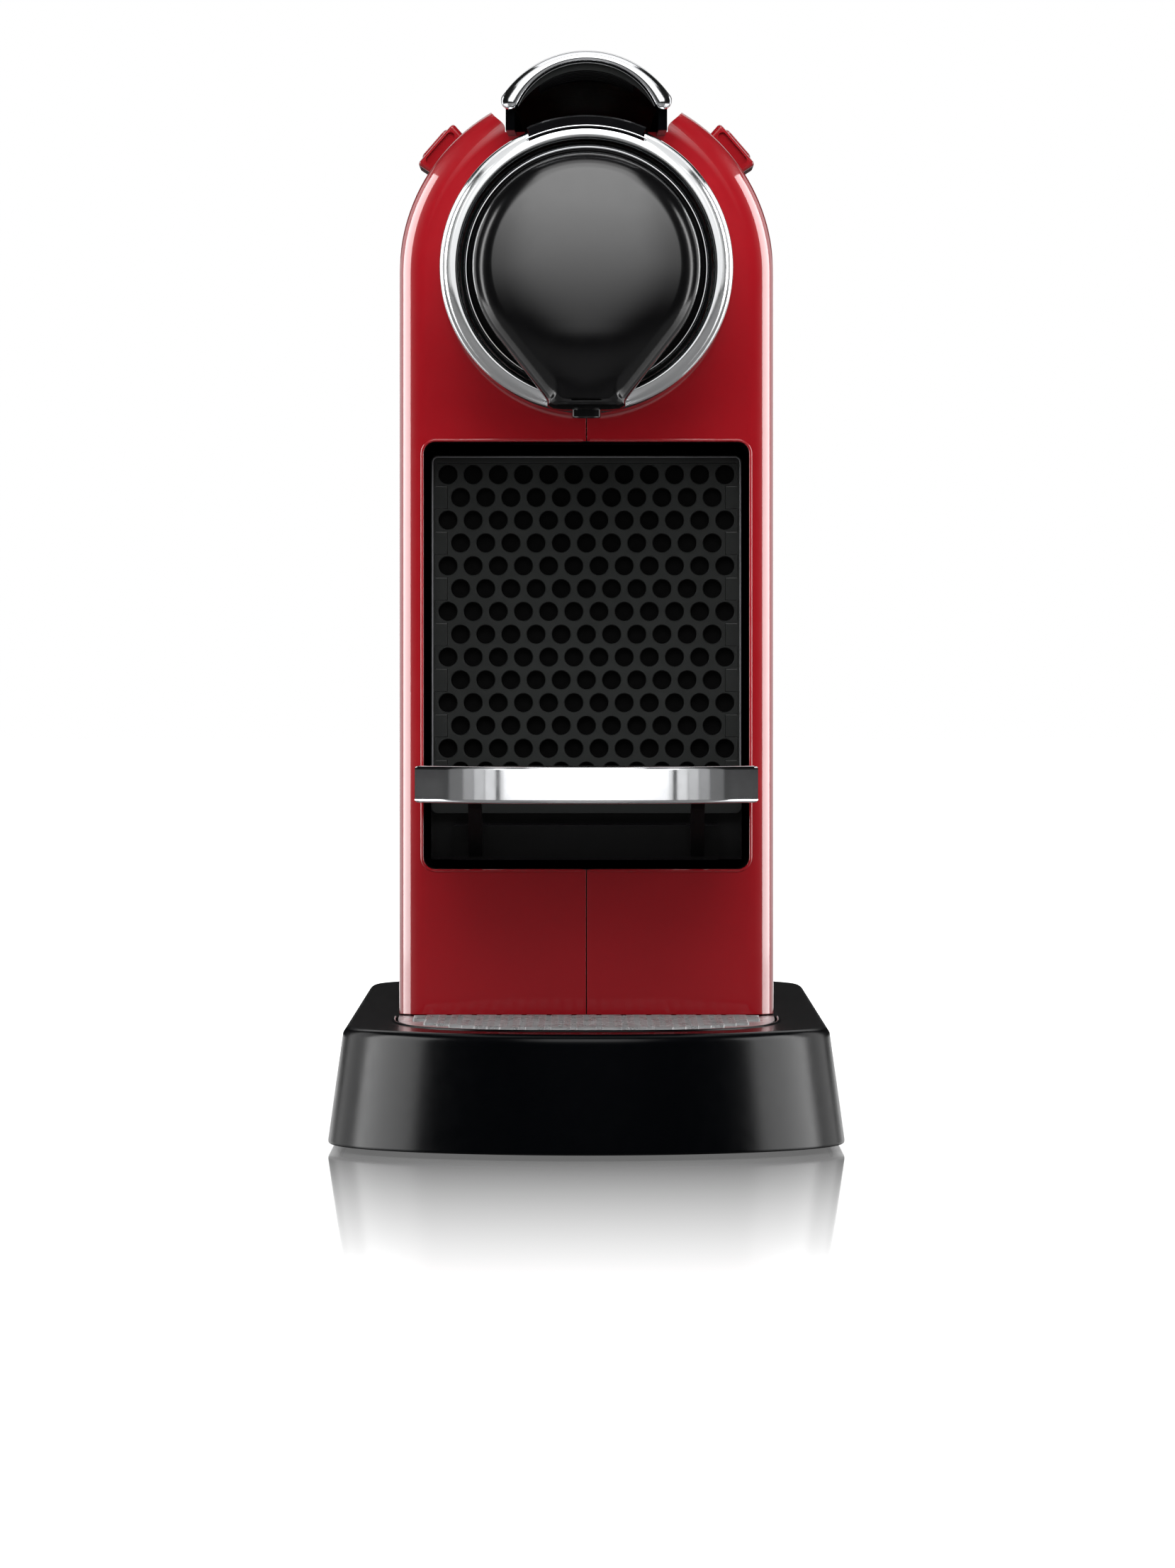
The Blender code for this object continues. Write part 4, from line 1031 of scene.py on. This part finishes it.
def make_cup_support(m):
    """The bowed chrome bar, with rounded edges. The tray and its grid keep their CAD shape."""
    z0, z1 = low("cup_support_bar").z, high("cup_support_bar").z
    rings = []
    e = 0.6
    half_edge = ((e, z0), (0.18, z0 + 0.18), (0, z0 + e), (0, z0 + 1.5 * e))
    for inset, z in half_edge + tuple((inset, z0 + z1 - z) for inset, z in half_edge[::-1]):
        outer = bar_arc(inset, BAR_HALF - inset)
        inner = bar_arc(3.0 - inset * 0.5, BAR_HALF - inset)[::-1]
        rings.append([(x, y, z) for x, y in outer + inner])
    place(make("cup_bar", loft(rings), m["bar"], 50), "cup_support", "chrome", "cup_support_bar")
    dress("cup_support_tray", m["black"])
    dress("cup_support_grid", m["grid"])


# -------- tank

def tank_plan(inset, steps=16):
    front, rear = low("water_tank").y + inset, TANK_REAR - inset
    half, radius = high("water_tank").x - inset, 20.0 - inset
    corner = 2.5
    points = arc(corner - half, front + corner, corner, corner, 180, 270, 5)
    points += arc(half - corner, front + corner, corner, corner, 270, 360, 5)
    points += arc(half - radius, rear - radius, radius, radius, 0, 90, steps)
    return points + arc(radius - half, rear - radius, radius, radius, 90, 180, steps)


def make_tank(m):
    """A clear tank with a groove below its rim and two hinge lugs."""
    z0, z1 = low("water_tank").z, 221.7
    levels = [(1.2, z0), (0.35, z0 + 0.35), (0, z0 + 1.2), (0, z1 - 6.0)]
    levels += [(0.5, z1 - 5.4), (0.5, z1 - 4.2), (0, z1 - 3.6), (0, z1)]
    rings = [[(x, y, z) for x, y in tank_plan(inset)] for inset, z in levels]
    tank = make("tank_body", loft(rings), m["clear"], 40)
    carve(tank, prism(tank_plan(2.2), "Z", z0 + 3, z1 + 5))
    carve(tank, cylinder(6.8, (0, 146, 0), "Z", 20, 60))
    for x0, x1 in ((-16, -8.3), (8.3, 16)):
        carve(tank, hinge_lug(x0, x1, -9), "UNION")
    carve(tank, cylinder(1.8, LID_HINGE, "X", -30, 30))
    sharpen(tank, 40)
    place(tank, "tank", "smoked_clear", "water_tank")
    make_tank_lid(m)


def make_tank_lid(m):
    """A half-round lid that goes on with the body's arch."""
    front, half = low("water_tank").y, high("water_tank").x
    barrel = prism(arc(0, LID_HINGE.z, half, half, 0, 180, 72), "Y", front, TANK_REAR)
    lid = make("tank_cap", barrel, m["satin"], 30)
    carve(lid, prism(tank_plan(0), "Z", 210, 300), "INTERSECT")
    carve(lid, prism(arc(0, 221, half - 2.4, half - 2.4, 0, 180, 48), "Y", front + 2.2, 162.0))
    carve(lid, hinge_lug(-8.0, 8.0, 9), "UNION")
    carve(lid, cylinder(1.8, LID_HINGE, "X", -30, 30))
    soften(lid, 0.6, 3, 35)
    place(lid, "lid", "black_plastic", "tank_lid")


def hinge_lug(x0, x1, rise):
    """An ear from the hinge pin to the rear wall, above the pin or below it."""
    side = 1 if rise > 0 else -1
    y, z = LID_HINGE.yz
    outline = [(y - 5, z + side * 3.5), (y - 5, z + rise)]
    outline += arc(y, z, 3.0, 3.0, side * 60, -side * 120, 16)
    return prism(outline, "X", x0, x1)


# -------- nodes that keep their CAD shape

def dress(name, material):
    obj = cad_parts[name]
    obj.data.materials.clear()
    obj.data.materials.append(material)


def dress_cad_nodes(m):
    finishes = {
        "black": ["base_bottom_plate", "base_drip_tray", "rear_panel", "unit_bay", "inner_chassis",
                  "brew_frame", "button_switch_left", "button_switch_right", "capsule_container",
                  "capsule_grate", "unit_drip_tray", "tank_valve", "tank_dock", "thermostat", "flow_meter"],
        "steel": ["extraction_plate", "toggle_link", "lever_axle", "crank_pin", "cup_hinge_pin_left",
                  "cup_hinge_pin_right", "tank_lid_pin", "pump_body", "thermoblock"],
        "rubber": ["foot_front_left", "foot_front_right", "foot_rear_left", "foot_rear_right", "cable_gland",
                   "pump_mount", "tank_hose", "pump_hose", "heater_hose", "brew_hose"],
        "grey": ["capsule_cage"],
        "copper": ["pump_coil"],
        "board": ["control_board"],
    }
    for finish, nodes in finishes.items():
        for node in nodes:
            dress(node, m[finish])


# -------- stage

def area_light(name, place_at, target, size, radiance, mirrored=True, only=None, in_diffuse=True):
    """A soft light of even brightness that faces a target. It can light only some pieces."""
    data = bpy.data.lights.new(name, "AREA")
    data.shape = "RECTANGLE"
    data.size, data.size_y = size[0] * MM, size[1] * MM
    data.energy = radiance * math.pi * data.size * data.size_y
    obj = bpy.data.objects.new(name, data)
    obj.location = Vector(place_at) * MM
    obj.rotation_euler = (Vector(target) - Vector(place_at)).to_track_quat("-Z", "Y").to_euler()
    obj.visible_glossy = mirrored
    obj.visible_diffuse = in_diffuse
    if only is not None:
        obj.light_linking.receiver_collection = only
    add_to_scene(obj)


def make_camera():
    data = bpy.data.cameras.new("camera")
    data.sensor_width = 36
    data.lens = LENS
    data.shift_x, data.shift_y = SHIFT
    data.clip_start, data.clip_end = 0.05, 50
    camera = bpy.data.objects.new("camera", data)
    camera.location = Vector((0, CAMERA_Y, CAMERA_Z)) * MM
    camera.rotation_euler = (math.radians(90), 0, 0)
    add_to_scene(camera)
    bpy.context.scene.camera = camera


def white_to_camera(tree, tint):
    """1 where the camera looks straight at the surface, and a dim value for light that bounces."""
    path = tree.nodes.new("ShaderNodeLightPath")
    mix = add_node(tree, "Mix", {"A": tint, "B": 1.0}, {"Factor": path.outputs["Is Camera Ray"]})
    return mix.outputs["Result"]


def make_floor():
    """A pale polished floor that glows white to the camera. Its glow is dimmer near the machine's foot, a
    painted shade round the foot, which also lets the floor's reflection show there and fade out further
    away.
    """
    bm = bmesh.new()
    corners = [(-9000, -9000, 0), (9000, -9000, 0), (9000, 9000, 0), (-9000, 9000, 0)]
    bm.faces.new([bm.verts.new(Vector(corner) * MM) for corner in corners])
    material, tree, shader, where = start_material("pale_floor")
    fill(shader, {"Base Color": (0.18, 0.18, 0.18, 1), "Roughness": 0.06, "Emission Color": (1, 1, 1, 1)})
    distance = add_node(tree, "VectorMath", {}, {0: where})
    distance.operation = "LENGTH"
    # Painted shade: the glow is dimmest near the machine's foot and rises to full white further out.
    painted_foot_shade = map_range(tree, distance.outputs["Value"], 0.19, 0.62, 0.14, 1.05)
    glow = add_node(tree, "Math", {}, {0: painted_foot_shade, 1: white_to_camera(tree, 0.06)})
    glow.operation = "MULTIPLY"
    tree.links.new(glow.outputs["Value"], shader.inputs["Emission Strength"])
    make("floor", bm, material)


def make_world():
    world = bpy.data.worlds.new("studio")
    bpy.context.scene.world = world
    world.use_nodes = True
    tree = world.node_tree
    tree.nodes["Background"].inputs["Color"].default_value = (1, 1, 1, 1)
    tree.links.new(white_to_camera(tree, 0.010), tree.nodes["Background"].inputs["Strength"])
    bpy.context.scene.view_settings.view_transform = "Standard"


def card_span(distance, degrees):
    """The width of a card that spans an angle at a distance."""
    return 2 * distance * math.tan(math.radians(degrees) / 2)


def soft_card(name, azimuth, elevations, width, distance, radiance, only=None):
    """A light in front of the machine that spans a range of heights, in degrees as seen from its head."""
    middle = math.radians(sum(elevations) / 2)
    turn = math.radians(azimuth)
    centre = Vector((0, -110, 180))
    level = math.cos(middle)
    towards = Vector((math.sin(turn) * level, -math.cos(turn) * level, math.sin(middle)))
    height = card_span(distance, elevations[1] - elevations[0])
    area_light(name, centre + towards * distance, centre, (width, height), radiance, only=only)


def light_group(names, state="INCLUDE"):
    """The pieces that a light reaches, or those that it leaves out."""
    group = bpy.data.collections.new("light_group")
    for name in names:
        group.objects.link(bpy.data.objects[name])
    for member in group.collection_objects:
        member.light_linking.link_state = state
    return group


def make_lights():
    """Lights at the very same distance hide one another in reflections, so stacked cards are 10 mm apart."""
    mirrors = light_group(("cup_bar", "chrome_ring", "trim_ring", "collar_trim"))
    dome = light_group(("spout_dome",))
    bar = light_group(("cup_bar",))
    above = light_group(("chrome_ring", "trim_ring", "lever_cover", "visor_line", "collar_trim"))
    edges = light_group(("cup_bar", "spout_dome", "lever_cover", "visor_line", "nozzle"), "EXCLUDE")
    visor = light_group(("lever_cover", "visor_line"))
    all_but_dome = light_group(("spout_dome",), "EXCLUDE")
    glossy_edges = light_group(("floor", "shell_left", "shell_right"))
    for lowest, highest, radiance in HIGH_CARDS:
        for layer, width in enumerate((760, 1020, 1300)):
            soft_card("front_high", 0, (lowest, highest), width, 1500 + 10 * layer, radiance / 3)
    for lowest, highest, radiance in ((62, 78, 4.5), (78, 92, 2.0)):
        soft_card("dome_top", 0, (lowest, highest), 1100, 1500, radiance, dome)
    for azimuth in (-42, 0, 42):
        soft_card("visor_card", azimuth, (15, 62), 1150, 1500, 0.8, visor)
    for side in (-1, 1):
        for nearest, furthest, radiance in BEND_CARDS:
            azimuth, width = side * (nearest + furthest) / 2, card_span(WALL_DISTANCE, furthest - nearest)
            soft_card("front_bend", azimuth, WALL_HEIGHTS, width, WALL_DISTANCE, radiance, mirrors)
        box_at = (side * 1250, 0, 540)
        area_light("side_box", box_at, (0, 0, 540), (1000, 1120), 10.0, only=edges, in_diffuse=False)
        soft_card("dome_side", side * 80, (-30, 45), 300, 1500, 7.0, dome)
        area_light("side_fill", (side * 1500, -900, 700), (0, 0, 150), (900, 1400), 4.1, mirrored=False)
        area_light("side_rear", (side * 1250, 1050, 540), (0, 500, 540), (800, 1120), 1.2)
    nearer = WALL_DISTANCE - 20
    soft_card("bar_wall", 0, WALL_HEIGHTS, card_span(nearer, 84), nearer, 0.55, bar)
    soft_card("front_wall", 0, WALL_HEIGHTS, card_span(WALL_DISTANCE, 88), WALL_DISTANCE, 1.05, mirrors)
    roof_at = (0, -1200, 2100)
    area_light("mirror_roof", roof_at, (0, -1200, 0), (3800, 2600), 0.9, only=above, in_diffuse=False)
    area_light("top_soft", (0, 300, 1500), (0, 60, 200), (1400, 900), 1.2, only=all_but_dome)
    area_light("front_fill", (0, -2300, 1500), (0, 0, 150), (2200, 1200), 2.4, mirrored=False)
    area_light("back_fill", (0, 1900, 1400), (0, 0, 150), (1800, 1200), 0.9)
    area_light("back_card", (0, 4200, 260), (0, 0, 260), (5200, 640), 1.35, only=glossy_edges)


def main():
    make_camera()
    m = make_materials()
    make_world()
    make_floor()
    make_base(m)
    for name, side in (("left", -1), ("right", 1)):
        make_shell(m, "shell_" + name, side, "body_shell_" + name)
    make_trough(m)
    make_head(m)
    make_lever(m)
    make_buttons(m)
    make_perforated_front(m)
    make_cup_support(m)
    make_tank(m)
    dress_cad_nodes(m)
    make_lights()


main()
